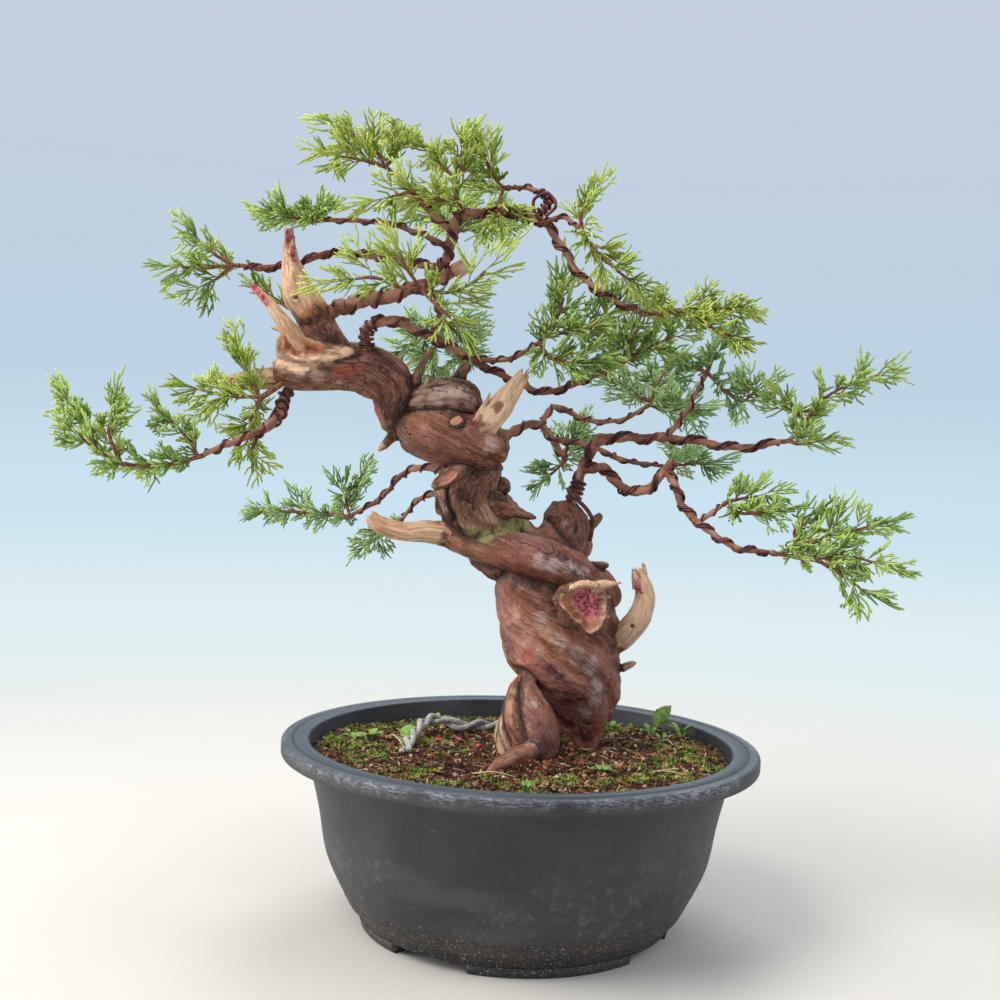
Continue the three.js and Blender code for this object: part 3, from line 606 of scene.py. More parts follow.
STRANDS = {
    "belly": [[49, 24, 113, 5], [48, 26, 122, 9.5], [46, 28, 131, 15.5], [43, 30, 141, 23],
        [39.5, 32, 150, 30], [37, 33, 159, 35], [35, 34, 170, 37.5], [32, 34, 181, 39.5],
        [28.5, 34, 192, 40.5], [24, 34, 206, 40], [15, 34, 224, 38], [3, 33, 252, 31]],
    "belly_right": [[52, 28, 127, 3], [55.5, 30, 136, 6], [57, 32, 145, 10], [57, 33, 154, 14],
        [52, 34, 168, 20]],
    "leg": [[8, 18, 172, 7], [3, 9, 162, 9], [5, 2, 152, 11.5], [9, -3, 142, 13.5], [13, -6, 131, 15],
        [14, -7, 119, 14]],
    "leg_middle": [[3, 13, 168, 6], [-3, 5, 159, 7.5], [-5, -3, 149, 8], [-4, -9, 139, 7.5],
        [0, -13, 130, 6.5], [3, -14, 121, 6]],
    "leg_left": [[-2, 11, 161, 5], [-8, 3, 151, 5.5], [-10, -3, 141, 5], [-10, -7, 130, 4.5],
        [-7, -10, 119, 4]],
    "leg_strip": [[-9, 4, 148, 2.6], [-14, -3, 137, 3], [-15, -8, 127, 3], [-10, -11, 117, 3]],
    "surface_root": [[14, -8, 124, 11], [4, -19, 121, 8], [-5, -30, 119.5, 6], [-13, -43, 118, 4.5],
        [-20, -58, 116, 2.2]],
    "ridge": [[-56, 20, 270, 12], [-38, 18, 263, 14], [-20, 12, 259, 14.5], [10, 5, 252, 16],
        [34, 6, 244, 13], [52, 12, 236, 10], [62, 22, 224, 7]],
    "knob": [[22, 40, 256, 22], [26, 42, 272, 19.5], [26, 42, 283, 15]],
    "column": [[-8, 32, 252, 26], [-33, 27, 276, 26], [-44, 24, 292, 24], [-43, 22, 308, 22],
        [-38, 18, 324, 20]],
    "column_plate": [[-59, 12, 312, 3], [-62, 7, 301, 3.6], [-60, 5, 289, 3], [-55, 4, 279, 2]],
    "ledge": [[-30, 17, 290, 12], [-20, 10, 287, 8], [-10, 5, 285, 5], [-2, 2, 283, 3],
        [5, 0, 281.5, 1.3]],
    "low_coil": [[-28, 16, 329, 16], [-40, 0, 331, 18], [-62, -2, 335, 19], [-80, 11, 339, 16],
        [-80, 27, 348, 13]],
    "high_coil": [[-84, 18, 357, 11], [-69, 9, 361, 14], [-53, 11, 362, 16], [-48, 26, 352, 15]],
    "neck": [[-97, 19, 338, 7], [-99, 16, 354, 12], [-102, 12, 370, 17], [-119, 6, 380, 17],
        [-140, 0, 380, 15], [-162, -6, 377, 14], [-173, -7, 377, 12]],
    "shoulder": [[-138, 4, 388, 13], [-149, 3, 400, 15], [-154, 1, 413, 12.5]],
    "shari": [[-124, -9, 391, 4], [-140, -9, 389, 8], [-156, -9, 388, 12], [-167, -10, 391, 12.5],
        [-169, -12, 402, 8]],
    "back_stub": [[-28, 24, 292, 9], [-20, 26, 304, 7]],
    "cut_stub": [[-43, -3, 319, 7], [-54, -11, 309.5, 6.2], [-65, -15, 301, 4]],
    "coil_cut": [[-52, -6, 344, 6], [-51.5, -18, 346, 5]],
    "left_stub": [[-94, 17, 340, 6], [-108, 13, 324, 2]],
    "right_stub": [[62, 34, 170, 5], [80, 23, 180, 2]],
    "knob_stub": [[38, 42, 268, 5], [52, 44, 283, 3]],
    "ridge_stub": [[46, 8, 248, 5], [56, 6, 250, 2]],
    "crown_stub": [[-84, 12, 372, 4.5], [-79, 11, 386, 2.8], [-72, 10, 397, 2.2]],
    "coil_stub": [[-56, 12, 372, 5.5], [-50, 12, 382, 4], [-46, 12, 388, 3]],
}
TWIST = {"belly": -0.023, "leg": -0.03, "leg_middle": -0.02, "ridge": 0.012,
         "low_coil": 0.02}  # radians per mm
# How smooth the bark is; the rest is flaky
SLEEK = {"belly": 1.0, "belly_right": 1.0, "leg": 0.85, "leg_middle": 0.4, "surface_root": 0.9,
         "ridge": 0.8, "knob": 0.5, "low_coil": 0.65, "neck": 0.4, "shoulder": 0.6}
# Strands that share one skin with another, with no seam between them
JOINED = {"ledge": "column", "belly_right": "belly", "shoulder": "neck"}
TRUNK_VOXEL = 1.0
GROUND = 114


class Strand:
    """A limb of old wood with its own grain: stations [x, y, z, radius] between rounded ends."""

    def __init__(self, name, stations):
        stations = np.array(stations, float)
        ends = []
        for end, inner in ((stations[0], stations[1]), (stations[-1], stations[-2])):
            lean = unit(end[:3] - inner[:3]) * end[3] * 0.55
            ends.append(np.append(end[:3] + lean, end[3] * 0.5))
        full = np.vstack([ends[0], stations, ends[1]])
        self.name = name
        t, self.centres = Route(full[:, :3]).walk(2.5, 24)
        kernel = np.array([1, 2, 3, 2, 1]) / 9
        self.radii = np.convolve(np.pad(spread(full[:, 3], t), 2, mode="edge"), kernel, mode="valid")
        self.along, self.out, self.side = carried(self.centres)
        self.run = run_of(self.centres)
        self.twist = TWIST.get(name, 0.006)

    def skin(self):
        phase = len(self.name)

        def lobes(ring, angle):
            turn = angle + self.twist * self.run[ring] * 1.5
            radius = self.radii[ring]
            return radius * (0.045 * np.sin(2 * turn + phase) + 0.03 * np.sin(5 * turn + phase * 2))

        return tube(self.centres, self.radii, 28, lobes)


def nearest_strand(points, strands):
    """For each point: how far it is from the skin of its strand and of the next one, the strand,
    and its place in that strand's own grain."""
    best = np.full(len(points), 1e9)
    grain = np.zeros((len(points), 3))
    which = np.zeros(len(points), int)
    skins = {}
    for number, strand in enumerate(strands):
        square = (points ** 2).sum(1)[:, None] + (strand.centres ** 2).sum(1)[None]
        apart = np.sqrt(np.maximum(square - 2 * points @ strand.centres.T, 0)) - strand.radii
        ring = apart.argmin(1)
        distance = apart[np.arange(len(points)), ring]
        offset = points - strand.centres[ring]
        run = strand.run[ring] + (offset * strand.along[ring]).sum(1)
        turn = strand.twist * run
        x, y = (offset * strand.out[ring]).sum(1), (offset * strand.side[ring]).sum(1)
        local = np.stack([
            x * np.cos(turn) - y * np.sin(turn),
            x * np.sin(turn) + y * np.cos(turn),
            run + 300 * number,
        ], -1)
        group = JOINED.get(strand.name, strand.name)
        skins[group] = np.minimum(distance, skins.get(group, 1e9))
        closer = distance < best
        best = np.where(closer, distance, best)
        grain[closer] = local[closer]
        which[closer] = number
    second = np.partition(np.stack(list(skins.values())), 1, axis=0)[1]
    return best, second, which, grain


def remeshed(points, faces, voxel):
    """One even skin round overlapping shapes: its points and square faces."""
    heap = Heap()
    heap.add(points, faces)
    rough_piece = heap.piece("rough_trunk", [])
    wrap = rough_piece.modifiers.new("skin", "REMESH")
    wrap.mode = "VOXEL"
    wrap.voxel_size = voxel / 1000
    graph = bpy.context.evaluated_depsgraph_get()
    skin = rough_piece.evaluated_get(graph).to_mesh()
    corners = np.zeros(len(skin.loops), np.int32)
    skin.loops.foreach_get("vertex_index", corners)
    places = np.zeros(len(skin.vertices) * 3, np.float32)
    skin.vertices.foreach_get("co", places)
    bpy.data.objects.remove(rough_piece)
    return (places.reshape(-1, 3).astype(float) - AXIS) * 1000, corners.reshape(-1, 4)


def eased(points, quads, rounds):
    """Points drawn towards the middle of their neighbours, a few times over."""
    ends = np.vstack([quads[:, [i, (i + 1) % 4]] for i in range(4)])
    ends = np.vstack([ends, ends[:, ::-1]])
    degree = np.bincount(ends[:, 0], minlength=len(points))[:, None]
    for _ in range(rounds):
        sums = np.stack([
            np.bincount(ends[:, 0], weights=points[ends[:, 1], k], minlength=len(points))
            for k in range(3)], -1)
        points = points + 0.5 * (sums / degree - points)
    return points


def normals_of(points, quads):
    """The way that the skin faces at each point."""
    across = points[quads[:, 2]] - points[quads[:, 0]]
    down = points[quads[:, 3]] - points[quads[:, 1]]
    facing = np.cross(across, down)
    return unit(np.stack([
        np.bincount(quads.ravel(), weights=np.repeat(facing[:, k], 4), minlength=len(points))
        for k in range(3)], -1))


def near(points, spots, edge=0.35, seed=0, streaks=0.0):
    """1 inside any of the spots [x, y, z, radius], with a ragged edge."""
    ragged = rough(points / 5, 3, seed) - 0.5 + streaks
    most = np.zeros(len(points))
    for x, y, z, radius in spots:
        share = np.linalg.norm(points - np.array([x, y, z]), axis=1) / radius + ragged * edge * 3
        most = np.maximum(most, 1 - ramp(share, 1 - edge, 1 + edge))
    return most


# Patches on the trunk, [x, y, z, radius]: where the wood is bare
BARE_SPOTS = [
    [-178, -16, 388, 8], [-174, -18, 396, 9], [-170, -20, 386, 9], [-168, -20, 400, 9],
    [-162, -22, 384, 8], [-158, -18, 396, 8], [-153, -21, 385, 8], [-150, -18, 393, 7],
    [-144, -19, 387, 7], [-136, -17, 390, 6], [-129, -14, 392, 4.5], [77, 24, 178, 6],
    [-107, 13, 326, 4], [-165, -20, 380.5, 5.5], [-157, -21, 380, 5.5], [-149, -20, 381.5, 5.5],
    [-141, -18, 384.5, 5],
]
# Where the torn end is hollowed out
BOWL_SPOTS = [[-161, -24, 393, 8], [-152, -21, 391, 6], [-166, -24, 400, 5]]
# Where strips of bark have come off
PEELED_SPOTS = [
    [-17, -8, 139, 6], [-14, -10, 131, 6.5], [-12, -12, 124, 6], [-9, -11, 151, 5], [-11, -15, 140, 5],
    [-9, -17, 128, 5.5], [0, -22, 139, 3.5], [4, -23, 130, 3], [-7, -5, 162, 3.5],
]
# Sawn faces, [x, y, z], the way each one looks, the width of its rim and its heart's half-axes
CUTS = [([-57, -14.5, 307], [-0.1, -0.97, 0.2], 1.8, 7, 2.0),
        ([-51.5, -19, 346.3], [-0.15, -0.85, 0.5], 1.7, 3.8, 1.9)]
# Young bark that shows orange red
RUST_SPOTS = [
    [-19, 9, 232, 6], [-12, 6, 240, 4], [-9, 9, 176, 5], [-4, 5, 170, 4], [31, -8, 180, 3.5],
    [-16, 11, 229, 5.5], [-19, 16, 222, 4.5], [-9, 5, 241, 3.5], [3, 5, 184, 5], [8, 3, 179, 3.5],
    [33, -6, 209, 3], [-135, -13, 375, 4], [-128, -12, 376, 5], [-121, -12, 379, 4], [-113, 7, 361, 3],
    [-107, 7, 354, 3], [-116, -1, 364, 2.5],
]
# Smooth young bark, violet brown
MAUVE_SPOTS = [
    [12, -10, 255, 7], [24, -9, 252, 7], [35, -5, 250, 6], [45, -1, 246, 5], [16, 3, 161, 9],
    [28, 3, 153, 10.5], [40, 6, 143, 10], [49, 8, 153, 10], [56, 1, 170, 8.5], [21, -5, 175, 7],
    [46, 17, 126, 7], [6, -18, 149, 6], [14, -21, 139, 7.5], [20, -20, 130, 6.5], [10, -22, 123, 5.5],
    [-69, -13, 322, 5.5], [-123, -11, 387, 6], [-111, -5, 389, 6.5], [26, -3, 163, 8], [35, 4, 151, 8],
    [32, 13, 137, 6.5], [24, 9, 145, 5.5],
]
# Weathered bark, paler than the rest
PALE_SPOTS = [
    [-80, 0, 368, 8], [-70, -6, 370, 8], [-60, -6, 371, 8], [-50, -2, 366, 7], [-68, -6, 361, 7],
    [-56, -6, 362, 6], [-58, 2, 309, 4], [-62, 4, 298, 5], [-58, 4, 286, 4], [-82, 0, 359, 6],
    [-62, 0, 371, 5.5], [-41, 2, 360, 4.5], [-32, -15, 326, 4], [-25, -11, 334, 5], [-148, -15, 372, 6],
    [-135, -15, 371, 6], [-122, -12, 371, 5],
]
# Smooth bark that is lighter and yellower; on the surface root these spots are a painted highlight
TAN_SPOTS = [
    [-7, 8, 207, 8.5], [4, 3, 196, 8.5], [-12, 14, 218, 6], [14, -2, 204, 6.5], [-2, 6, 181, 6],
    [8, 2, 190, 6], [22, -5, 196, 6], [-9, -47, 121, 6], [-2, -38, 124, 5], [5, -22, 126, 5],
    [0, -29, 124, 5], [-6, -38, 121, 5],
]
# Where bare wood is fresh and pale
CREAM_SPOTS = [
    [-17, -8, 139, 6], [-14, -10, 131, 6], [-12, -12, 124, 6], [-173, -16, 384, 5],
    [-168, -19, 381, 5.5], [-161, -20, 379.5, 5.5], [-153, -20, 380, 5.5], [-145, -18, 383, 5],
    [-138, -17, 387.5, 4], [-130, -14, 391.5, 3.2],
]
# Where the bark is cracked into plates
PLATE_SPOTS = [
    [-32, -15, 326, 7], [-25, -11, 334, 7], [-19, -1, 330, 6], [-38, -14, 337, 6.5], [-28, -8, 343, 6],
]
# Where bare wood is orange
AMBER_SPOTS = [
    [-169, -17, 394, 4.5], [-164, -19, 400, 4], [-158, -16, 394, 5], [-171, -19, 400, 3.5],
    [-151, -15, 392, 4], [-163, -16, 389, 3.5], [-146, -16, 393, 3],
]
# Where smooth bark has a whitish bloom, with painted sheen where light glances off the smooth bark
BLOOM_AND_SHEEN_SPOTS = [
    [49, 8, 155, 7], [54, 1, 165, 5.5], [45, 6, 146, 5], [10, -3, 211, 6], [26, -7, 197, 5],
    [38, -7, 188, 6.5], [48, -2, 182, 5.5], [9, -11, 253, 5], [19, -11, 252, 6], [30, -10, 249, 6],
    [39, -8, 246, 5], [-27, -14, 331, 5], [-65, -6, 361, 7], [-54, -5, 366, 7], [-45, -2, 360, 5.5],
    [-160, -18, 375, 5], [-2, -7, 162, 4], [9, -13, 154, 3], [26, 25, 279, 2.5], [8, -20, 128, 3],
]
# Where the bark is a deeper brown
WARM_SPOTS = [
    [-10, 8, 232, 10], [4, 4, 224, 10], [-16, 12, 224, 9], [-78, -6, 338, 10], [-68, -14, 334, 10],
    [-58, -18, 328, 10], [-46, -18, 332, 9], [-50, -16, 322, 8], [-70, -10, 324, 8], [-56, -16, 340, 8],
    [-50, 2, 300, 9], [-38, 4, 306, 9], [-30, 6, 296, 8], [-24, 12, 314, 8], [-48, 0, 290, 7],
    [-56, 6, 316, 6], [-150, -8, 404, 10], [-140, -6, 398, 8], [-154, -8, 412, 8],
]
# Green algae in the hollow over the ridge
ALGAE_SPOTS = [
    [-12, 10, 274, 5.5], [-2, 19, 276, 5], [-20, 4, 271, 4], [-39, 0, 271, 4], [-29, 2, 267, 5],
]
# Painted shade: the shadow under the ridge and in deep hollows and seams, and old bark that is nearly
# black
SHADOW_AND_BLACK_BARK_SPOTS = [
    [-16, 6, 241, 6], [-6, 4, 238, 7], [5, 0, 233, 7.5], [17, -3, 227, 7], [-63, 9, 287, 5.5],
    [-55, 7, 278, 5.5], [-47, 5, 271, 4], [-15, 0, 246, 4], [-5, 4, 240, 4], [7, 0, 234, 5],
    [16, -4, 228, 5], [21, -3, 218, 4], [28, -5, 209, 3.5], [62, 13, 203, 5.5], [65, 14, 191, 5.5],
    [66, 13, 180, 4], [-93, 0, 342, 6], [-90, 9, 351, 6], [-94, 6, 332, 5], [-96, -2, 352, 5],
    [-36, 2, 306, 4], [-26, 4, 298, 3.5], [-47, 0, 296, 4], [-139, -6, 399, 6], [-148, -10, 402, 6],
    [-130, -4, 398, 5], [-97, 7, 349, 6.5], [-101, 3, 356, 4.5], [-92, 4, 359, 4.5], [-99, 11, 342, 4],
    [-90, 3, 346, 4],
]
# Patches in streaks along the grain: their spots, how soft the edges are, and a seed
STREAKED = {
    "rust": (RUST_SPOTS, 0.4, 9), "mauve": (MAUVE_SPOTS, 0.5, 15), "bloom_and_sheen": (BLOOM_AND_SHEEN_SPOTS, 0.5, 17),
    "pale": (PALE_SPOTS, 0.4, 19), "dark": (SHADOW_AND_BLACK_BARK_SPOTS, 0.5, 21), "tan": (TAN_SPOTS, 0.5, 25),
    "warm": (WARM_SPOTS, 0.5, 39),
}
# Patches that are as ragged one way as the other
CLOUDED = {
    "algae": (ALGAE_SPOTS, 0.5, 13), "amber": (AMBER_SPOTS, 0.5, 27), "cream": (CREAM_SPOTS, 0.4, 29),
    "plates": (PLATE_SPOTS, 0.4, 37),
}
# Knots that stand out, each with a dark dimple
KNOTS = [[26, -6, 174, 3], [42, -1, 160, 2], [25, 28, 285, 4.5], [-11, 2, 286, 3],
         [-147, -13, 384, 3], [12, 24, 271, 2], [-84, -10, 336, 2], [35, -7, 199, 2]]


def knotted(points, knots):
    """How far round knots [x, y, z, radius] stand out, and how dark the dimple in each one is."""
    relief, pit = np.zeros(len(points)), np.zeros(len(points))
    for x, y, z, radius in knots:
        share = np.linalg.norm(points - np.array([x, y, z]), axis=1) / radius
        ring, dimple = np.exp(-((share - 0.75) / 0.3) ** 2), np.exp(-(share / 0.4) ** 2)
        relief += 0.3 * radius * (ring - 0.8 * dimple)
        pit = np.maximum(pit, np.exp(-(share / 0.42) ** 2))
    return relief, pit


def sawn(points, cuts):
    """Points cut back to the sawn faces, how bare each point is and how deep in the heartwood."""
    bare, heart = np.zeros(len(points)), np.zeros(len(points))
    for middle, facing, reach, long, short in cuts:
        facing = unit(np.array(facing))
        offset = points - np.array(middle)
        beyond = offset @ facing
        down = unit(np.array([-0.79, 0.0, -0.61]))
        run, across = offset @ down, offset @ unit(np.cross(facing, down))
        within = (run / (long + reach)) ** 2 + (across / (short + reach)) ** 2 < 1
        face = within & (beyond > -0.6) & (beyond < 9)
        points = np.where((face & (beyond > 0))[:, None], points - facing * beyond[:, None], points)
        bare = np.maximum(bare, face)
        share = np.sqrt((run / long) ** 2 + (across / short) ** 2)
        share = share + 1.1 * (rough(points / 3, 2, 33) - 0.5)
        heart = np.maximum(heart, 0.6 * face * (1 - ramp(share, 0.75, 1.15)))
    return points, bare, heart


def mark_grain(piece, grain):
    """Marks each point of a piece with its place in the wood's own grain."""
    layer = piece.data.attributes.new("grain", "FLOAT_VECTOR", "POINT")
    layer.data.foreach_set("vector", grain.astype(np.float32).ravel())


def make_trunk():
    strands = [Strand(name, stations) for name, stations in STRANDS.items()]
    heap = Heap()
    for strand in strands:
        heap.add(*strand.skin())
    points, quads = remeshed(np.vstack(heap.points), heap.faces, TRUNK_VOXEL)
    points = eased(points, quads, 6)
    facing = normals_of(points, quads)
    best, second, which, grain = nearest_strand(points, strands)
    size = np.array([strand.radii.max() for strand in strands])[which]
    thick = np.clip(size / 20, 0.25, 1.3)
    sleek = np.array([SLEEK.get(strand.name, 0.0) for strand in strands])[which]
    sleek = eased(np.stack([sleek] * 3, -1), quads, 12)[:, 0]
    sleek = np.clip(sleek + 0.9 * (rough(points / 11, 2, 41) - 0.5), 0, 1)
    inside = ramp(second - best, 0.3, 5)
    long_grain = grain / np.array([1, 1, 5.5])
    flutes = rough(long_grain / 15, 2, 3)
    strips = rough(long_grain / 4.4, 3, 11)
    flakes = steps(rough(grain / np.array([6, 6, 17]), 3, 17), 5)
    thin = steps(rough(grain / np.array([9, 9, 30]), 3, 19), 6)
    fibres = rough(long_grain / 1.7, 2, 23)
    lumps = rough(points / 9, 3, 31)
    coarse = 1 - 0.8 * sleek
    knots, pits = knotted(points, KNOTS)
    calm = 0.3 + 0.7 * ramp(points[:, 2], 128, 176)
    relief = (4.6 * (flutes - 0.5) * thick * calm + 3.0 * (strips - 0.5) * thick * coarse
              + 3.8 * (flakes - 0.5) * np.minimum(thick, 1) * coarse
              + 2.0 * (thin - 0.5) * np.minimum(thick, 1) * sleek
              + 1.1 * (fibres - 0.5) * coarse + 2.0 * (lumps - 0.5) * thick * calm)
    streaks = 1.2 * (rough(long_grain / 2.8, 3, 61) - 0.5)
    bare = near(points, BARE_SPOTS, 0.3, 5)
    peeled = near(points, PEELED_SPOTS, 0.3, 6, streaks) * ramp(strips, 0.4, 0.55)
    relief = relief * (0.25 + 0.75 * inside) - 1.1 * (1 - inside) * thick * (1 - bare) + knots
    relief = relief * (1 - 0.3 * bare) - bare * np.minimum(thick, 1) - 4.0 * near(points, BOWL_SPOTS)
    relief = relief + 0.8 * peeled * (strips - 0.3)
    points = points + facing * relief[:, None]
    points[:, 2] = np.maximum(points[:, 2], GROUND)
    points, cut, heart = sawn(points, CUTS)
    bare = np.maximum(bare, cut * 0.92)
    height = (0.5 + (0.9 * (flakes - 0.5) + 0.9 * (strips - 0.5) + 0.5 * (fibres - 0.5)) * coarse
              + 1.1 * (thin - 0.5) * sleek)
    # Lower in the seams between strands and in knot dimples; the bark's colour is painted darker there as
    # shade
    height = np.clip(height - 0.42 * (1 - inside) * (1 - bare) - 0.5 * pits, 0, 1)
    height = np.maximum(height, cut * 0.6)
    marks = {name: near(points, *patch, streaks) for name, patch in STREAKED.items()}
    marks |= {name: near(points, *patch) for name, patch in CLOUDED.items()}
    marks["rust"] *= 0.85
    marks["algae"] *= 0.85
    marks["dark"] = np.maximum(marks["dark"] * 0.85, pits * 0.7)
    marks["amber"] = np.maximum(marks["amber"], cut * 0.5)
    trunk = Heap()
    trunk.add(points, [quads], bare=np.maximum(bare, peeled * 0.85), height=height, sleek=sleek,
              heart=heart, **marks)
    mark_grain(trunk.piece("trunk_bark", [OLD_BARK], "trunk", ["trunk"]), grain)


# Deadwood, boughs and wire

DEADWOOD = {
    "long_jin": [[-50, 20, 265, 9.5], [-69, 14, 268, 7.5], [-91, 12, 268, 6.5], [-105, 11, 272, 6],
        [-112, 10, 278, 4]],
    "cone_jin": [[-36, -4, 342, 10.5], [-26, -9, 353, 9.5], [-17, -8, 366, 7], [-8, -6, 379, 4]],
    "torn_stub": [[36, 12, 221, 18], [41, -12, 222, 17], [42, -24, 223, 12]],
    "antler_jin": [[60, 31, 188, 8], [72, 25, 200, 9], [81, 20, 213, 8.5], [84.5, 18, 226, 7],
        [82, 16, 238, 5.5], [79, 16, 247, 3]],
    "tall_jin": [[-150, 3, 402, 8], [-155, -2, 416, 12], [-164, -6, 430, 11], [-170, -8, 450, 6.5],
        [-173, -8, 473, 1.5]],
    "spike_jin": [[-150, 2, 376, 5], [-160, -8, 390, 7], [-167, -13, 401, 7], [-174, -16, 411, 5],
        [-184, -18, 423, 3.4], [-195, -20, 434, 1.5]],
    "pale_stub": [[-178, -2, 372, 8], [-200, -6, 369, 6], [-213, -8, 367, 4]],
}
# How far the torn end's edge juts out and in, how deep the end is hollow, splinters and their length
TORN = {
    "long_jin": (1.2, 2, 3, 4), "cone_jin": (7, 8, 9, 10), "torn_stub": (3.5, 5, 4, 3),
    "antler_jin": (2.5, 3, 3, 8), "tall_jin": (3, 2, 5, 9), "spike_jin": (1.5, 1, 4, 6),
    "pale_stub": (4, 5, 7, 6),
}
# The torn stub's edge and the heartwood in it, as [angle from the right, clockwise, mm out]
TORN_EDGE = [
    [14, 12.5], [51, 15.5], [84, 17.2], [110, 11.5], [140, 12], [163, 14.1], [190, 20.9], [220, 18.6],
    [265, 15.4], [298, 18.5], [317, 18], [345, 14],
]
TORN_HEART = [[0, 9], [60, 14], [113, 9.5], [157, 11], [196, 13], [270, 10.5], [318, 13]]
# Pink heartwood that shows: the line that it follows and its half-width
HEARTS = {
    "tall_jin": ([[-172.5, -10, 470], [-171, -11, 465], [-169, -13, 459], [-166.5, -14.5, 452]], 2.3),
    "spike_jin": ([[-194, -21, 433], [-191, -21.5, 429.5], [-187.5, -22, 425], [-184, -22, 420.5]], 2.3),
    "antler_jin": ([[79, 9, 240], [78, 10, 234], [79, 10, 227]], 2.8),
    "pale_stub": ([[-213, -12, 368], [-211, -12, 368], [-209, -12, 368]], 3),
}
# Tips and splinters that fork off a piece of deadwood: a line and its radii
FORKS = {
    "antler_jin": [([[79, 15, 235], [76.5, 13, 241], [75, 12, 247]], [4, 2.6, 1.2]),
                   ([[83, 16, 238], [83, 16, 245], [82, 16, 251]], [2.6, 2, 1])],
    "torn_stub": [([[46, -22, 236], [52, -26, 239], [58, -28, 240.5], [63, -29, 241.5]],
                   [4.5, 3.6, 1.8, 0.5]),
                  ([[30, -26, 236], [38, -29, 239.5], [48, -29, 239]], [2, 2.6, 2])],
    "spike_jin": [([[-166, -14, 400], [-174, -14, 404], [-181, -13, 405]], [4, 2.6, 0.8])],
    "tall_jin": [([[-170, -12, 456], [-169, -12, 463], [-168, -12, 468]], [3.4, 2, 0.5])],
    "cone_jin": [([[-24, -8, 360], [-15, -10, 372], [-11, -10, 378]], [4, 2.6, 1]),
                 ([[-36, -10, 350], [-33, -13, 358], [-30, -14, 366]], [3.5, 2.2, 0.6])],
}
# Knots that stand out on a piece of deadwood, [x, y, z, radius]
TORN_KNOTS = {"tall_jin": [[-165, -15, 426, 3.4]]}
# Knot-holes and splits, [x, y, z, radius]: the wood is hollow there and painted dark as shade
HOLES = {
    "cone_jin": [[-24, -15, 357, 4.6]], "tall_jin": [[-165, -16, 426, 1.6]],
    "antler_jin": [[80, 10, 231, 2.2], [76, 14, 207, 1.4]],
}
# The middles of the torn stub's end and of the heartwood in it, [x, z]
TORN_MIDDLE = [42, 223.5]
TORN_HEART_MIDDLE = [43, 227]
LIMB_SIDES = 56


def heartwood(points, name):
    """How deep in pink heartwood each point of a piece of deadwood is, from 0 to 1."""
    if name not in HEARTS:
        return np.zeros(len(points))
    line, reach = HEARTS[name]
    places = Route(line).at(np.linspace(0, 1, 30))
    return near(points, [[*place, reach] for place in places], 0.25, 7)


def reach_at(angle, outline):
    """How far an outline reaches at each angle, in radians."""
    outline = np.array(outline, float)
    return np.interp(np.degrees(angle) % 360, outline[:, 0], outline[:, 1], period=360)


def torn_face(points, share):
    """Gives the torn stub its own outline and sinks its heart; also how far each point is in it."""
    points = points.copy()
    middle_x, middle_z = TORN_MIDDLE
    x, z = points[:, 0] - middle_x, points[:, 2] - middle_z
    front = ramp(np.minimum(share, 1), 0.35, 0.95)
    grow = 1 + front * (reach_at(np.arctan2(-z, x), TORN_EDGE) / 17.5 - 1)
    points[:, 0], points[:, 2] = middle_x + x * grow, middle_z + z * grow
    x, z = points[:, 0] - TORN_HEART_MIDDLE[0], points[:, 2] - TORN_HEART_MIDDLE[1]
    far = np.hypot(x, z) / reach_at(np.arctan2(-z, x), TORN_HEART)
    far = far + 0.5 * (rough(points / 3.4, 2, 91) - 0.5)
    heart = (share > 1) * (1 - ramp(far, 0.86, 1.06))
    lobes = rough(points[:, [0, 2, 2]] * np.array([1, 1, 0]) / 4.5, 2, 97) - 0.5
    points[:, 1] += heart * (1.5 + 7 * lobes + 0.28 * (43 - points[:, 0]))
    return points, heart


def add_splinters(heap, centres, radii, count, length, thickness, rng):
    """Thin splinters that stand round the broken end of a limb."""
    along, out, side = carried(centres)
    for _ in range(count):
        angle = rng.uniform(0, 2 * math.pi)
        ring = int((1 - rng.uniform(0, 0.06)) * (len(centres) - 1))
        outward = math.cos(angle) * out[ring] + math.sin(angle) * side[ring]
        root = centres[ring] + outward * radii[ring] * 0.86 - along[ring] * 3
        tip = root + along[ring] * (3 + length * rng.uniform(0.3, 1)) + outward * rng.uniform(-1, 2)
        radius = np.array([1.0, 0.75, 0.12]) * thickness * rng.uniform(0.6, 1.1)
        line = np.linspace(root, tip, 3) + rng.normal(0, 0.35, (3, 3))
        heap.add(*tube(line, radius, 5), bare=0.9, height=0.6)


def add_forks(heap, name, seed):
    """The tips that fork off a piece of deadwood, broken off as it is."""
    for line, radii in FORKS.get(name, []):
        t, centres = Route(line).walk(0.9)
        points, faces, _, depth = torn_limb(centres, spread(radii, t), 1.5, 1.0, seed)
        heap.add(points, faces, bare=1.0, height=np.clip(0.5 + 1.6 * depth, 0, 1),
                 heart=heartwood(points, name))


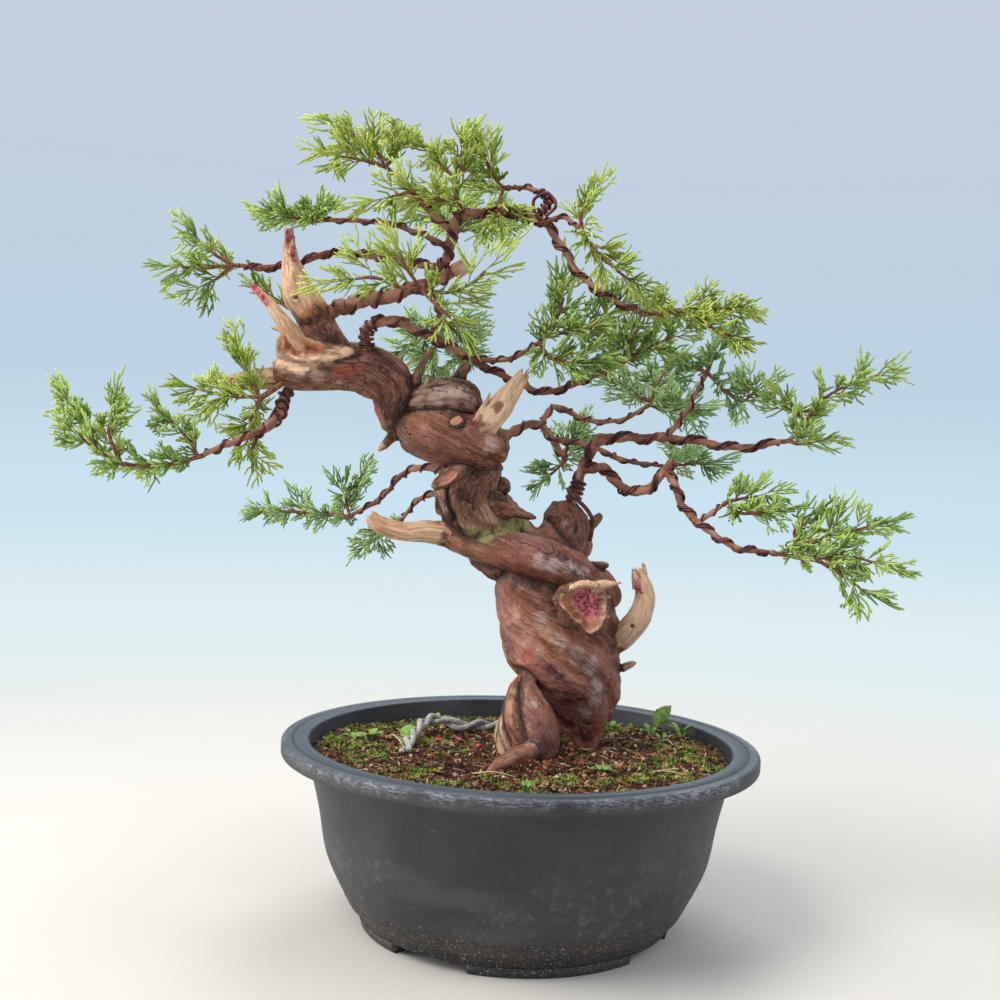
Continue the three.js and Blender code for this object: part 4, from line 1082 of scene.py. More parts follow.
def make_deadwood():
    """Bare torn limbs: grooved along the grain, hollow and splintered at the broken end."""
    for number, (name, stations) in enumerate(DEADWOOD.items()):
        stations = np.array(stations, float)
        t, centres = Route(stations[:, :3]).walk(0.9)
        radii = spread(stations[:, 3], t)
        stub, tall = name == "torn_stub", name == "tall_jin"
        if stub:
            radii = radii * (1 + 0.45 * ramp(np.linspace(0, 1, len(t)), 0.55, 0.9))
        jut, hollow, splinters, length = TORN[name]
        points, faces, share, depth = torn_limb(centres, radii, jut, hollow, 200 + 10 * number)
        inside = share > 1
        ragged = rough(points / 5, 2, 205 + 10 * number) - 0.5
        bare = ramp(share + 0.5 * ragged, 0.02, 0.22)
        amber, bark_edge = 0.0, 0.0
        if tall:
            bare = ramp(share + 0.25 * ragged, 0.2, 0.24)
            amber = 1 - ramp(share + 0.25 * ragged, 0.25, 0.34)
            bark_edge = 1 - ramp(share + 0.25 * ragged, 0.24, 0.28)
        heart = heartwood(points, name)
        holes = near(points, HOLES.get(name, []), 0.4, 3)
        # Lower in the grooves, inside the hollow end, in holes and at the bark's torn edge; the colour is
        # painted darker there, as shade
        height = 0.68 + 1.3 * depth - 0.25 * inside * (not stub) - 0.9 * holes - 0.4 * bark_edge
        height = np.clip(height, 0, 1)
        if stub:
            points, heart = torn_face(points, share)
            bare = ramp(share + 0.3 * ragged, 0.93, 1.02)
            rim = inside * (1 - heart)
            frayed = ramp(44 - points[:, 0] + 22 * ragged, 0, 9) * rim
            height = height - 0.6 * frayed * ramp(ragged, -0.22, 0.08)
            height = height - 0.3 * rim * ramp(220 - points[:, 2], 0, 10)
            amber = np.maximum(frayed, 0.8 * (share < 1) * ramp(ragged, -0.1, 0.1))
            amber = np.maximum(amber, 0.8 * rim * ramp(220 - points[:, 2], 0, 8))
        ring = np.minimum((share * (len(t) - 1)).astype(int), len(t) - 1)
        facing = unit(points - centres[ring])
        points = points - facing * (2.2 * holes)[:, None]
        relief, pits = knotted(points, TORN_KNOTS.get(name, []))
        points = points + facing * relief[:, None]
        heap = Heap()
        heap.add(points, faces, bare=bare, height=np.clip(height - 0.5 * pits, 0, 1), heart=heart,
                 dark=0.35 * stub + 0.3 * tall, sleek=0.3, warm=1.0, amber=amber,
                 cream={"cone_jin": 0.45, "antler_jin": 0.4}.get(name, 0))
        rng = np.random.default_rng(100 + number)
        add_splinters(heap, centres, radii, splinters, length, 1.7 if stub else 1.0, rng)
        add_forks(heap, name, 300 + number)
        grain = wood_grain(np.vstack(heap.points), centres)
        if stub:
            grain[np.flatnonzero(share > 0.97)] *= np.array([0.35, 0.35, 3.0])
        mark_grain(heap.piece(name + "_wood", [OLD_BARK], "bare_wood", [name]), grain)


def torn_limb(centres, radii, jut, hollow, seed):
    """A grooved limb whose end is broken off: an uneven edge round a hollow.

    Gives its points, faces, how far along each point is (more than 1 inside the hollow, 2 at its
    middle) and how far it stands out as a share of the radius."""
    along, out, side = carried(centres)
    count = len(centres)
    angle = around(LIMB_SIDES)
    run = run_of(centres)
    inward = np.array([0.86, 0.62, 0.36, 0.12])
    ring = np.concatenate([np.arange(count), np.full(4, count - 1)])
    scale = np.concatenate([np.ones(count), inward])
    share = np.concatenate([np.linspace(0, 1, count), [1.25, 1.5, 1.75, 2.0]])
    radius = radii[ring] * scale
    turn = angle[None] + 0.012 * run[ring][:, None]
    flat = np.stack([radii[ring][:, None] * np.cos(turn), radii[ring][:, None] * np.sin(turn),
                     np.repeat(run[ring][:, None] / 7, LIMB_SIDES, axis=1)], -1).reshape(-1, 3)
    deep = rough(flat / 3.4, 2, seed).reshape(turn.shape) - 0.5
    fine = rough(flat / 1.2, 2, seed + 3).reshape(turn.shape) - 0.5
    relief = (3.8 * deep + 1.1 * fine) * np.clip(radii[ring] / 9, 0.2, 1.1)[:, None] * scale[:, None]
    edge = np.stack([2.2 * np.cos(angle), 2.2 * np.sin(angle), angle * 0 + seed], -1)
    teeth = (rough(edge, 3, seed + 5) - 0.42) * 2 * jut
    lean = np.concatenate([ramp(np.linspace(0, 1, count), 0.55, 1.0), [0.85, 0.6, 0.4, 0.2]])
    back = np.concatenate([np.zeros(count), -hollow * np.array([0.35, 0.7, 0.9, 1.0])])
    far = lean[:, None] * teeth[None] + back[:, None]
    far[count:] += 1.6 * (rough(flat / 2.0, 2, seed + 9).reshape(turn.shape)[count:] - 0.5)
    skin = (centres[ring][:, None] + far[..., None] * along[ring][:, None]
            + (radius[:, None] + relief)[..., None] * spokes(angle, out[ring], side[ring]))
    points = np.vstack([skin.reshape(-1, 3), centres[:1], skin[-1:].mean(1)])
    shares = np.append(np.repeat(share, LIMB_SIDES), [0.0, 2.0])
    stands = np.append((relief / radii[ring][:, None]).ravel(), [0.0, 0.0])
    return points, tube_faces(len(ring), LIMB_SIDES), shares, stands


def wood_grain(points, centres):
    """Each point's place in a limb's own grain: two ways across it and the way along it."""
    along, out, side = carried(centres)
    ring = np.linalg.norm(points[:, None] - centres[None, ::3], axis=2).argmin(1) * 3
    offset = points - centres[ring]
    return np.stack([(offset * out[ring]).sum(1), (offset * side[ring]).sum(1),
                     run_of(centres)[ring] + (offset * along[ring]).sum(1)], -1)


# Boughs as in the part's source, under the piece that they are joined into: their points, and the
# radii of their two ends
BOUGH_GROUPS = {
    "crown_boughs": {
        "crown_limb": ([[-150, -1, 416], [-128, 2, 425], [-84, 4, 438], [-56, 4, 452]], (6.5, 5)),
        "crown_upright": ([[-70, 6, 445], [-64, 4, 462], [-61, 2, 476], [-57, 0, 490]], (4.4, 3.5)),
        "apex_bough": ([[-60, 2, 476], [-76, -4, 489], [-90, -8, 503], [-104, -10, 515]], (3.2, 2)),
        "apex_left": ([[-65, 3, 468], [-96, -10, 478], [-130, -14, 480], [-149, -16, 479]], (2.6, 1.7)),
        "apex_back": ([[-60, 2, 480], [-62, 30, 482], [-62, 56, 487]], (3, 2)),
        "front_bough": ([[-86, 3, 438], [-83, -12, 435], [-79, -30, 433]], (3, 2)),
        "middle_back": ([[-76, 4, 441], [-73, 30, 434], [-71, 56, 424]], (3, 2)),
    },
    "cascade_boughs": {
        "cascade": ([[-58, 0, 488], [-35, -4, 491], [-14, -8, 488], [3, -10, 483], [14, -12, 468],
            [28, -16, 448], [46, -20, 434], [69, -24, 424]], (3.8, 1.9)),
        "cascade_loop": ([[-5, -9, 486], [5, -5, 500], [-8, 1, 509], [-22, 6, 510]], (2.6, 1.7)),
        "cascade_side": ([[2, -10, 483], [14, -16, 487], [24, -20, 481]], (2.4, 1.7)),
    },
    "left_boughs": {
        "upper_left": ([[-66, 5, 452], [-94, 8, 457], [-124, 11, 461], [-150, 13, 461], [-168, 12, 454],
            [-194, 10, 449], [-209, 8, 450]], (3.3, 2)),
        "lower_left": ([[-168, 4, 370], [-174, 0, 358], [-174, -12, 346], [-183, -22, 335],
            [-202, -28, 326], [-220, -32, 317]], (4.4, 2.3)),
        "back_left": ([[-52, 32, 308], [-68, 50, 312], [-86, 66, 312], [-101, 78, 303], [-114, 88, 288],
            [-135, 96, 275]], (3.4, 1.8)),
        "back_left_low": ([[-50, 36, 294], [-70, 50, 294], [-82, 62, 289], [-95, 72, 274]], (3, 1.8)),
    },
    "middle_boughs": {
        "middle_right": ([[-116, 2, 390], [-117, -2, 407], [-106, -2, 414], [-92, 4, 413], [-76, 13, 406],
            [-59, 20, 399], [-40, 20, 389], [-16, 18, 378], [8, 16, 370], [32, 14, 378],
            [54, 12, 388]], (4.5, 2.1)),
        "middle_right_side": ([[-42, 19, 391], [-18, 10, 392], [-1, 0, 401]], (2.6, 1.7)),
        "back_right": ([[-26, 26, 336], [5, 45, 348], [15, 55, 337], [23, 62, 326]], (3.8, 2.8)),
        "back_right_high": ([[6, 45, 347], [15, 60, 361], [43, 75, 353], [68, 85, 355],
            [85, 90, 365]], (2.8, 1.8)),
        "back_right_low": ([[14, 54, 338], [43, 65, 334], [71, 80, 324], [98, 85, 321]], (2.8, 1.8)),
    },
    "right_boughs": {
        "long_right": ([[29, 42, 286], [36, 38, 310], [40, 34, 325], [51, 28, 338], [80, 20, 340],
            [111, 14, 340], [145, 8, 336], [173, 4, 341]], (4.8, 2.3)),
        "long_right_side": ([[94, 17, 340], [109, 16, 362], [119, 14, 384]], (2.6, 1.7)),
        "low_right_bend": ([[38, 36, 316], [53, 24, 317], [62, 16, 306], [76, 10, 302], [88, 4, 310],
            [98, 0, 325]], (3.9, 3.5)),
        "low_right": ([[94, 2, 317], [99, -8, 309], [104, -16, 295], [117, -22, 282], [138, -28, 269],
            [162, -32, 266]], (3.4, 2)),
        "low_right_side": ([[115, -21, 284], [124, -20, 291], [131, -18, 296]], (2.2, 1.6)),
    },
}
BOUGHS = {name: bough for group in BOUGH_GROUPS.values() for name, bough in group.items()}
BOUGH_SIDES = 18
UNDER_WIRE = 0.8  # of the source's radius, which takes in the wire


def add_limb(heap, points, radii, seed, gap=1.4, sides=BOUGH_SIDES):
    """A bough with knots along it and bark that is ridged lengthwise."""
    route = Route(points)
    t, centres = route.walk(gap)
    radius = spread(radii, t)
    run = np.linspace(0, route.length, len(t))
    rng = np.random.default_rng(seed)
    for _ in range(max(1, int(route.length / 22))):
        swell, place = rng.uniform(0.08, 0.3), rng.uniform(0, run[-1])
        radius = radius * (1 + swell * np.exp(-((run - place) / 2.6) ** 2))
    wander = np.stack([rough(np.stack([run / 9, run * 0 + seed, run * 0 + k], -1), 2, seed + k) - 0.5
                       for k in range(3)], -1)
    fade = np.minimum(1, np.minimum(run, run[-1] - run) / 8)[:, None]
    centres = centres + wander * radius[:, None] * 0.9 * fade

    def ridges(ring, angle):
        ring, angle = np.broadcast_arrays(ring, angle)
        size = radius[ring]
        turn = angle + 0.03 * run[ring]
        place = np.stack([size * np.cos(turn), size * np.sin(turn), run[ring] / 5], -1)
        bark = rough(place.reshape(-1, 3) / 1.7, 3, seed).reshape(ring.shape) - 0.5
        return bark * np.minimum(0.42 * size, 1.5)

    points, faces = tube(centres, radius, sides, ridges)
    inner = points[:-2].reshape(len(t), sides, 3)
    depth = (np.linalg.norm(inner - centres[:, None], axis=2) / radius[:, None]).ravel()
    # Low in the grooves between ridges, where the bark's colour is painted darker as shade
    height = np.append(np.clip(0.5 + 2.4 * (depth - 1), 0, 1), [0.5, 0.5])
    heap.add(points, faces, height=height, bare=0.0)


def make_boughs():
    for group, boughs in BOUGH_GROUPS.items():
        heap = Heap()
        for name, (points, radii) in boughs.items():
            bark = [radius * UNDER_WIRE for radius in radii]
            add_limb(heap, points, bark, len(name) + sum(map(ord, name)))
        if group == "crown_boughs":
            add_cut_end(heap)
        heap.piece(group, [BOUGH_BARK], "bough_bark", list(boughs))


def add_cut_end(heap):
    """The sawn end of the crown limb, past the bough that carries the apex."""
    points, faces = tube(np.array([[-58, 4, 450], [-55, 3, 452], [-50, 2, 455.0]]), [5.8, 5.6, 5.4], 18)
    heap.add(points, faces, height=0.6, bare=np.where(points[:, 0] > -51, 0.9, 0.35))


# Wire: bough, share of it where the wire starts and ends, mm a turn, phase, radius, strands
WIRES = [
    ("crown_limb", 0.1, 0.95, 17, 0.4, 1.3, 1), ("crown_upright", 0, 1, 12, 1.0, 1.3, 2),
    ("cascade", 0.02, 0.98, 21, 0.2, 1.25, 2), ("cascade", 0.22, 0.34, 4, 2.1, 1.1, 1),
    ("cascade_loop", 0.05, 0.55, 4, 0, 1.2, 1), ("cascade_loop", 0.55, 0.95, 12, 0, 0.9, 1),
    ("cascade_side", 0.1, 1, 12, 1, 0.8, 1), ("apex_bough", 0, 1, 15, 1.2, 1.0, 1),
    ("apex_left", 0.05, 1, 17, 0.3, 0.9, 1), ("apex_back", 0.1, 1, 14, 0, 0.9, 1),
    ("upper_left", 0.03, 0.98, 20, 0.8, 1.15, 2), ("front_bough", 0.1, 1, 13, 0.5, 1.0, 1),
    ("middle_back", 0.1, 1, 14, 0, 0.9, 1), ("lower_left", 0.0, 0.4, 7, 0.3, 1.3, 1),
    ("lower_left", 0.4, 0.98, 15, 1.3, 1.2, 1), ("middle_right", 0.02, 0.12, 4, 0, 1.3, 1),
    ("middle_right", 0.12, 0.98, 19, 0, 1.2, 2), ("middle_right_side", 0.05, 1, 14, 0, 0.9, 1),
    ("back_right", 0.05, 0.98, 18, 0, 1.0, 1), ("back_right_high", 0.05, 0.98, 17, 1, 0.9, 1),
    ("back_right_low", 0.05, 0.98, 17, 2, 0.9, 1), ("long_right", 0.045, 0.13, 3.6, 0, 1.4, 1),
    ("long_right", 0.13, 0.99, 25, 1.1, 1.3, 2), ("long_right_side", 0.05, 1, 15, 0, 0.9, 1),
    ("low_right_bend", 0.05, 1, 22, 0.6, 1.25, 2), ("low_right", 0.05, 0.98, 16, 0.2, 1.15, 2),
    ("low_right_side", 0.1, 1, 12, 0, 0.8, 1), ("back_left", 0.05, 0.98, 17, 0.4, 1.0, 1),
    ("back_left_low", 0.05, 0.98, 16, 0.7, 0.9, 1),
]
# Ends and loops of wire that stand off the bark: a line and its radius
LOOSE_WIRES = [
    ([[27, 30, 302], [31, 22, 297], [40, 19, 289], [45, 19, 281], [45, 20, 273], [44, 22, 266]], 1.5),
    ([[3, -14, 487], [10, -14, 495], [4, -12, 503], [-5, -11, 499], [-3, -12, 488], [6, -14, 482]], 1.2),
    ([[-176, -12, 352], [-180, -18, 342], [-186, -24, 330], [-190, -22, 322]], 1.1),
]


def make_wires():
    """Training wire wound round the boughs, each turn close on the bark."""
    heap = Heap()
    for bough, start, stop, pitch, phase, radius, strands in WIRES:
        points, radii = BOUGHS[bough]
        route = Route(points)
        for strand in range(strands):
            length = (stop - start) * route.length
            count = max(12, int(length / pitch * 18))
            share = np.linspace(start, stop, count)
            t = route.even(share)
            turn = phase + strand * 0.9 + (share - start) * route.length / pitch * 2 * math.pi
            sway = noise(np.stack([share * 14, share * 0 + len(bough), share * 0], -1)) - 0.5
            reach = spread(radii, t) * UNDER_WIRE * 1.06 + radius * 0.7
            line = wound(route.at(t), turn + 0.5 * sway, reach)
            heap.add(*tube(line, np.full(count, radius * (0.92 - 0.15 * strand)), 8))
    for line, radius in LOOSE_WIRES:
        t, centres = Route(line).walk(1.5)
        heap.add(*tube(centres, np.full(len(t), radius), 8))
    heap.piece("training_wire", [WIRE], "bough_bark")


# Foliage: the masses of the part's source, grown again and carried to finer shoots

# Masses, under the piece that their shoots are joined into: where each one starts (a bough, or a
# root and a fork), its leaves, the length of its sprays, its seed and its stems. A stem forks near
# the start, or, where it is (number, share, points), from that share of another stem.
CROWN_PARTS = {
    "crown_sprays": {
        "apex_foliage": ("apex_bough", "bright", 30, 11, [
            [[-118, -12, 533], [-135, -10, 540]], [[-123, -15, 521], [-141, -16, 523]],
            [[-100, -6, 531], [-102, -2, 542]]]),
        "crown_top_foliage": ("crown_upright", "bright", 31, 23, [
            [[-59, -6, 501], [-56, -10, 517], [-56, -8, 530]],
            [[-72, -18, 496], [-90, -28, 497], [-102, -32, 493]],
            (0, 0.55, [[-70, -8, 521], [-78, -4, 530]])]),
        "crown_right_foliage": ("cascade_loop", "bright", 29, 31, [
            [[-34, 2, 518], [-39, 0, 527]], [[-29, -6, 497], [-29, -14, 484]]]),
        "high_left_foliage": ("apex_left", "mid", 25, 41, [
            [[-163, -14, 480], [-175, -14, 481]], (0, 0.2, [[-152, -25, 480]])]),
        "apex_back_foliage": ("apex_back", "mid", 31, 223, [
            [[-72, 78, 498], [-86, 98, 508]], [[-48, 78, 495], [-34, 98, 503]],
            (0, 0.35, [[-62, 94, 512]])]),
    },
    "front_sprays": {
        "front_foliage": ("front_bough", "bright", 32, 61, [
            [[-93, -40, 433], [-109, -46, 438], [-124, -46, 435]], [[-87, -42, 445], [-92, -44, 455]],
            [[-60, -42, 430], [-42, -48, 437], [-35, -48, 444]], [[-67, -40, 422], [-57, -44, 413]]]),
        "cascade_foliage": ("cascade_side", "bright", 28, 71, [
            [[27, -24, 487], [31, -24, 494]], [[32, -27, 470], [44, -31, 456], [62, -33, 443]]]),
        "cascade_tip_foliage": ("cascade", "bright", 24, 83, [
            [[89, -28, 424], [111, -30, 427], [130, -30, 427]],
            (0, 0.45, [[118, -34, 413], [130, -32, 409]])]),
    },
    "left_sprays": {
        "far_left_foliage": ("upper_left", "mid", 29, 53, [
            [[-228, 4, 458], [-236, 2, 465]], [[-232, 0, 446], [-247, -4, 446]],
            [[-227, 14, 441], [-237, 16, 436]]]),
        "hanging_foliage": ([[-170, -10, 370], [-186, -18, 357]], "bright", 29, 173, [
            [[-192, -11, 346], [-195, -7, 334], [-194, -5, 324]],
            [[-200, -20, 357], [-214, -20, 358], [-224, -18, 360]],
            [[-195, -21, 370], [-199, -20, 380]]]),
        "low_left_foliage": ("lower_left", "mid", 26, 181, [
            [[-242, -36, 310], [-276, -40, 309], [-290, -42, 318], [-305, -42, 328]],
            [[-229, -38, 325], [-237, -42, 335], [-243, -42, 341]],
            (0, 0.6, [[-281, -46, 331], [-279, -46, 342]]),
            (0, 0.8, [[-300, -36, 334], [-310, -34, 346]])]),
        "shoulder_foliage": ([[-148, 6, 402], [-174, 22, 422]], "mid", 22, 229, [
            [[-188, 26, 430], [-197, 26, 435]]]),
    },
    "middle_sprays": {
        "middle_foliage": ("middle_right_side", "mid", 30, 97, [
            [[9, -8, 411], [16, -10, 426], [17, -8, 434]], [[8, -8, 393], [25, -14, 389], [34, -14, 391]],
            (0, 0.35, [[25, -12, 409], [42, -14, 417], [50, -12, 424]])]),
        "middle_right_foliage": ("middle_right", "mid", 28, 101, [
            [[73, 8, 400], [89, 5, 408], [96, 5, 412]], [[65, 2, 404], [68, 0, 412]]]),
        "middle_back_foliage": ("middle_back", "deep", 31, 211, [
            [[-84, 78, 412], [-102, 98, 403]], [[-58, 80, 413], [-50, 104, 404]],
            (0, 0.3, [[-75, 72, 400], [-79, 74, 388]])]),
        "long_side_foliage": ("long_right_side", "deep", 25, 139, [
            [[123, 14, 394], [127, 12, 401]], [[112, 19, 391]],
            [[131, 10, 377], [145, 8, 368], [152, 8, 373]]]),
    },
    "right_sprays": {
        "far_right_foliage": ("long_right", "mid", 26, 149, [
            [[186, -2, 352], [193, -6, 365], [205, -8, 376], [226, -9, 386]],
            (0, 0.3, [[180, 2, 362], [172, 4, 366]]), [[185, 0, 340], [192, 0, 341]]]),
        "low_side_foliage": ("low_right_side", "mid", 24, 157, [
            [[140, -16, 300], [155, -14, 303]], [[143, -24, 291], [158, -26, 293]]]),
        "low_right_foliage": ("low_right", "mid", 25, 163, [
            [[181, -36, 271], [201, -38, 279], [224, -38, 286]],
            [[185, -44, 263], [204, -48, 267], [229, -50, 263]],
            (1, 0.4, [[203, -50, 256], [217, -52, 247]]), (0, 0.3, [[178, -30, 281], [185, -30, 286]])]),
    },
    "rear_sprays": {
        "rear_right_foliage": ("back_right_high", "deep", 31, 113, [
            [[92, 98, 379], [100, 104, 393]], (0, 0.2, [[75, 98, 375], [67, 100, 381]]),
            [[102, 94, 363], [118, 97, 366]]]),
        "rear_low_foliage": ("back_right_low", "deep", 26, 127, [
            [[113, 90, 322], [132, 93, 325]], (0, 0.3, [[118, 104, 330]])]),
        "rear_centre_foliage": ("back_right", "deep", 26, 131, [
            [[26, 74, 332], [33, 82, 344]], [[20, 74, 316], [12, 82, 309]]]),
        "rear_left_foliage": ("back_left", "deep", 26, 191, [
            [[-161, 104, 273], [-188, 108, 274], [-202, 110, 273]],
            [[-142, 102, 288], [-136, 100, 297]]]),
        "rear_left_low_foliage": ("back_left_low", "deep", 24, 197, [[[-106, 78, 265], [-117, 82, 256]]]),
    },
}


def seeded(seed):
    state = seed * 7919

    def draw():
        nonlocal state
        state = state * 48271 % 2147483647
        return state / 2147483647
    return draw


def heading(angle, lift):
    """A way over the ground at an angle, tilted up by lift."""
    return unit(np.array([math.cos(angle), math.sin(angle), lift]))


def square_to(way):
    """Two ways square to a way: one level and one that points up."""
    across = np.cross(way, UP)
    if np.linalg.norm(across) < 0.1:
        across = np.array([1.0, 0.0, 0.0])
    across = unit(across)
    return across, np.cross(across, way)


def stem_routes(start, stems):
    """Each stem's points: the first goes on from the bough's tip, the others fork from it."""
    routes = []
    fork = None if isinstance(start, str) else start[1]
    for stem in stems:
        if isinstance(stem, tuple):
            on, share, stem = stem
            base = Route(routes[on])
            routes.append([base.at(base.even(share))[0].tolist(), *stem])
        elif fork is not None:
            routes.append([fork, *stem])
        else:
            bough = Route(BOUGHS[start][0])
            along, tip = bough.way(1)[0], bough.at(1)[0]
            root = tip + along * CLEAR
            fork = (root + along * FORK_REACH).tolist()
            routes.append([root.tolist(), fork, *stem])
    return routes


def buds_of(route, spray, draw):
    """Where sprays leave one stem: at, way, length, width and turn about the way."""
    buds = []
    count = max(2, int(route.length / BUD_SPACING + 0.5))
    for i in range(count):
        t = route.even((i + 0.8) / (count + 0.3))
        along = route.way(t)[0]
        across, above = square_to(along)
        turn = GOLDEN_ANGLE * i + draw() * 0.8
        way = unit(0.8 * along + math.cos(turn) * across + math.sin(turn) * above + LIFT * UP)
        length = spray * (0.8 + 0.35 * draw())
        buds.append((route.at(t)[0], way, length, 1.0, draw() * math.pi))
    buds.append((route.at(1)[0], route.way(1)[0], spray * 1.15, 0.6, draw() * math.pi))
    return buds


FILL_SPACING = 4.5  # mm of stem for each finer spray between the source's own
SHOOT_RADIUS = 0.84
TOP_SPREAD = 5.0  # mm over which heights are pressed together under the crown's top
# How many finer sprays a mass has, as a share of the usual number
FULLNESS = {"crown_top_foliage": 0.75, "crown_right_foliage": 0.8, "apex_foliage": 0.75,
            "front_foliage": 0.2, "far_left_foliage": 0.4, "low_left_foliage": 1.0,
            "hanging_foliage": 1.1, "high_left_foliage": 1.7, "far_right_foliage": 0.8,
            "low_right_foliage": 0.7, "rear_right_foliage": 1.4, "middle_foliage": 1.2,
            "middle_right_foliage": 1.2, "rear_left_foliage": 1.15, "cascade_tip_foliage": 0.95,
            "cascade_foliage": 0.8}
# Sprays that are shorter than the rest, as a share
SHORTER = {"far_left_foliage": 0.85, "low_left_foliage": 0.84}


def fan_template(rng):
    """One spray, flat along +X and 1 long: shoots as (start, middle, end, thickness, kind)."""
    shoots = []
    sway, lift = rng.uniform(-0.1, 0.1), rng.uniform(-0.06, 0.1)

    def leader(f):
        return np.array([f, sway * math.sin(f * math.pi), lift * f * f])

    count = rng.integers(5, 8)
    shoots.append((leader(0), leader(0.2), leader(0.4), 0.75, 0))
    shoots.append((leader(0.38), leader(0.68), leader(1.0), 1.0, 2))
    for i in range(count):
        f = 0.08 + 0.78 * (i + rng.uniform(0.1, 0.7)) / count
        hand = 1 if i % 2 else -1
        angle = hand * math.radians(rng.uniform(24, 44))
        size = (0.5 * (1 - f) + 0.26) * rng.uniform(0.75, 1.2)
        tilt = rng.uniform(-0.45, 0.45)
        way = heading(angle, tilt * abs(math.sin(angle)))
        curl = np.array([0.06, -0.07 * hand, rng.uniform(-0.05, 0.1)]) * size
        root = leader(f)
        middle = root + way * size * 0.5 - curl * 0.5
        end = root + way * size + curl
        shoots.append((root, middle, end, 0.95, 1 if f < 0.4 else 2))
        for k in range(rng.integers(1, 3) if f < 0.5 else 0):
            g = rng.uniform(0.3, 0.75)
            base = root + (middle - root) * min(1, g * 2) + (end - middle) * max(0, g * 2 - 1)
            fork = angle + (1 if (k + i // 2) % 2 else -1) * math.radians(rng.uniform(24, 44))
            short = rng.uniform(0.18, 0.3) * (1.2 - 0.5 * f)
            tip = base + heading(fork, rng.uniform(-0.5, 0.5)) * short
            bend = np.array([0.12, 0, rng.uniform(-0.1, 0.15)]) * short
            shoots.append((base, (base + tip) / 2 - bend * 0.3, tip + bend, 0.88,
                           2 if g > 0.5 or f > 0.5 else 1))
    return shoots


def needle_template(rng):
    """A looser spray of long straight shoots that leave a short leader together."""
    shoots = [(np.zeros(3), np.array([0.2, 0, 0]), np.array([0.4, 0.0, 0]), 0.8, 0)]
    for _ in range(rng.integers(7, 11)):
        f = rng.uniform(0.08, 0.42)
        angle = math.radians(rng.uniform(-48, 48))
        size = rng.uniform(0.46, 0.7)
        way = heading(angle, rng.uniform(-0.5, 0.5))
        root = np.array([f, 0, 0])
        curl = np.array([0.03, 0, rng.uniform(-0.05, 0.07)])
        shoots.append((root, root + way * size * 0.5 - curl * 0.6, root + way * size + curl, 0.8,
                       2 if rng.random() < 0.6 else 1))
        if rng.random() < 0.6:
            base = root + way * size * rng.uniform(0.4, 0.7)
            side = unit(way + np.array([0, rng.choice([-0.6, 0.6]), rng.uniform(-0.4, 0.4)]))
            shoots.append((base, base + side * 0.09, base + side * 0.19 + curl * 0.5, 0.75, 2))
    return shoots


def packed(shoots):
    """Shoots as arrays: their lines, thicknesses and kinds."""
    lines = np.array([[s[0], s[1], s[2]] for s in shoots])
    return lines, np.array([s[3] for s in shoots]), np.array([s[4] for s in shoots])


def make_templates():
    rng = np.random.default_rng(7)
    fans = [packed(fan_template(rng)) for _ in range(14)]
    needles = [packed(needle_template(rng)) for _ in range(8)]
    return fans, needles


FANS, NEEDLES = make_templates()


def lay_spray(at, way, length, width, spin, template, curl):
    """A template's shoots where a bud puts them, with the outer ones curling up or down."""
    lines, thick, kind = template
    across, above = square_to(way)
    side = across * math.cos(spin) + above * math.sin(spin)
    facing = np.cross(way, side)
    local = lines * np.array([length, length * width, length * width])
    laid = at + local[..., :1] * way + local[..., 1:2] * side + local[..., 2:3] * facing
    laid[..., 2] += curl * (local[..., 0] / length) ** 2 * length
    return laid, thick, kind


def shoot_meshes(lines, radius):
    """Three-sided shoots that swell in the middle and end in a point: points and faces."""
    start, middle, end = lines[:, 0], lines[:, 1], lines[:, 2]
    along = unit(end - start)
    out = np.cross(along, UP)
    short = np.linalg.norm(out, axis=1) < 0.1
    out[short] = np.cross(along[short], np.array([1.0, 0, 0]))
    out = unit(out)
    side = np.cross(along, out)
    ring = spokes(around(3) + math.pi / 2, out, side)
    near_end = middle + (end - middle) * 0.8
    size = radius[:, None, None]
    points = np.concatenate([
        start[:, None] + ring * size * 0.85,
        middle[:, None] + ring * size * 1.05,
        near_end[:, None] + ring * size * 0.9,
        end[:, None],
    ], axis=1)
    offset = np.arange(len(lines))[:, None, None] * 10
    k, after = np.arange(3), (np.arange(3) + 1) % 3
    quads = np.vstack([np.stack([b + k, b + after, b + 3 + after, b + 3 + k], -1) for b in (0, 3)])
    tris = np.vstack([np.stack([6 + k, 6 + after, np.full(3, 9)], -1), [[2, 1, 0]]])
    return points.reshape(-1, 3), [(quads[None] + offset).reshape(-1, 4),
                                   (tris[None] + offset).reshape(-1, 3)]


def shoot_kinds(kind):
    """The finishes of shoot_meshes' faces, from one finish for each shoot."""
    return [np.repeat(kind, 6), np.repeat(kind, 4)]


def below_top(height):
    """Heights pressed together as they near the crown's top, so that none passes it."""
    return CROWN_TOP - TOP_SPREAD * np.logaddexp(0, (CROWN_TOP - height) / TOP_SPREAD)


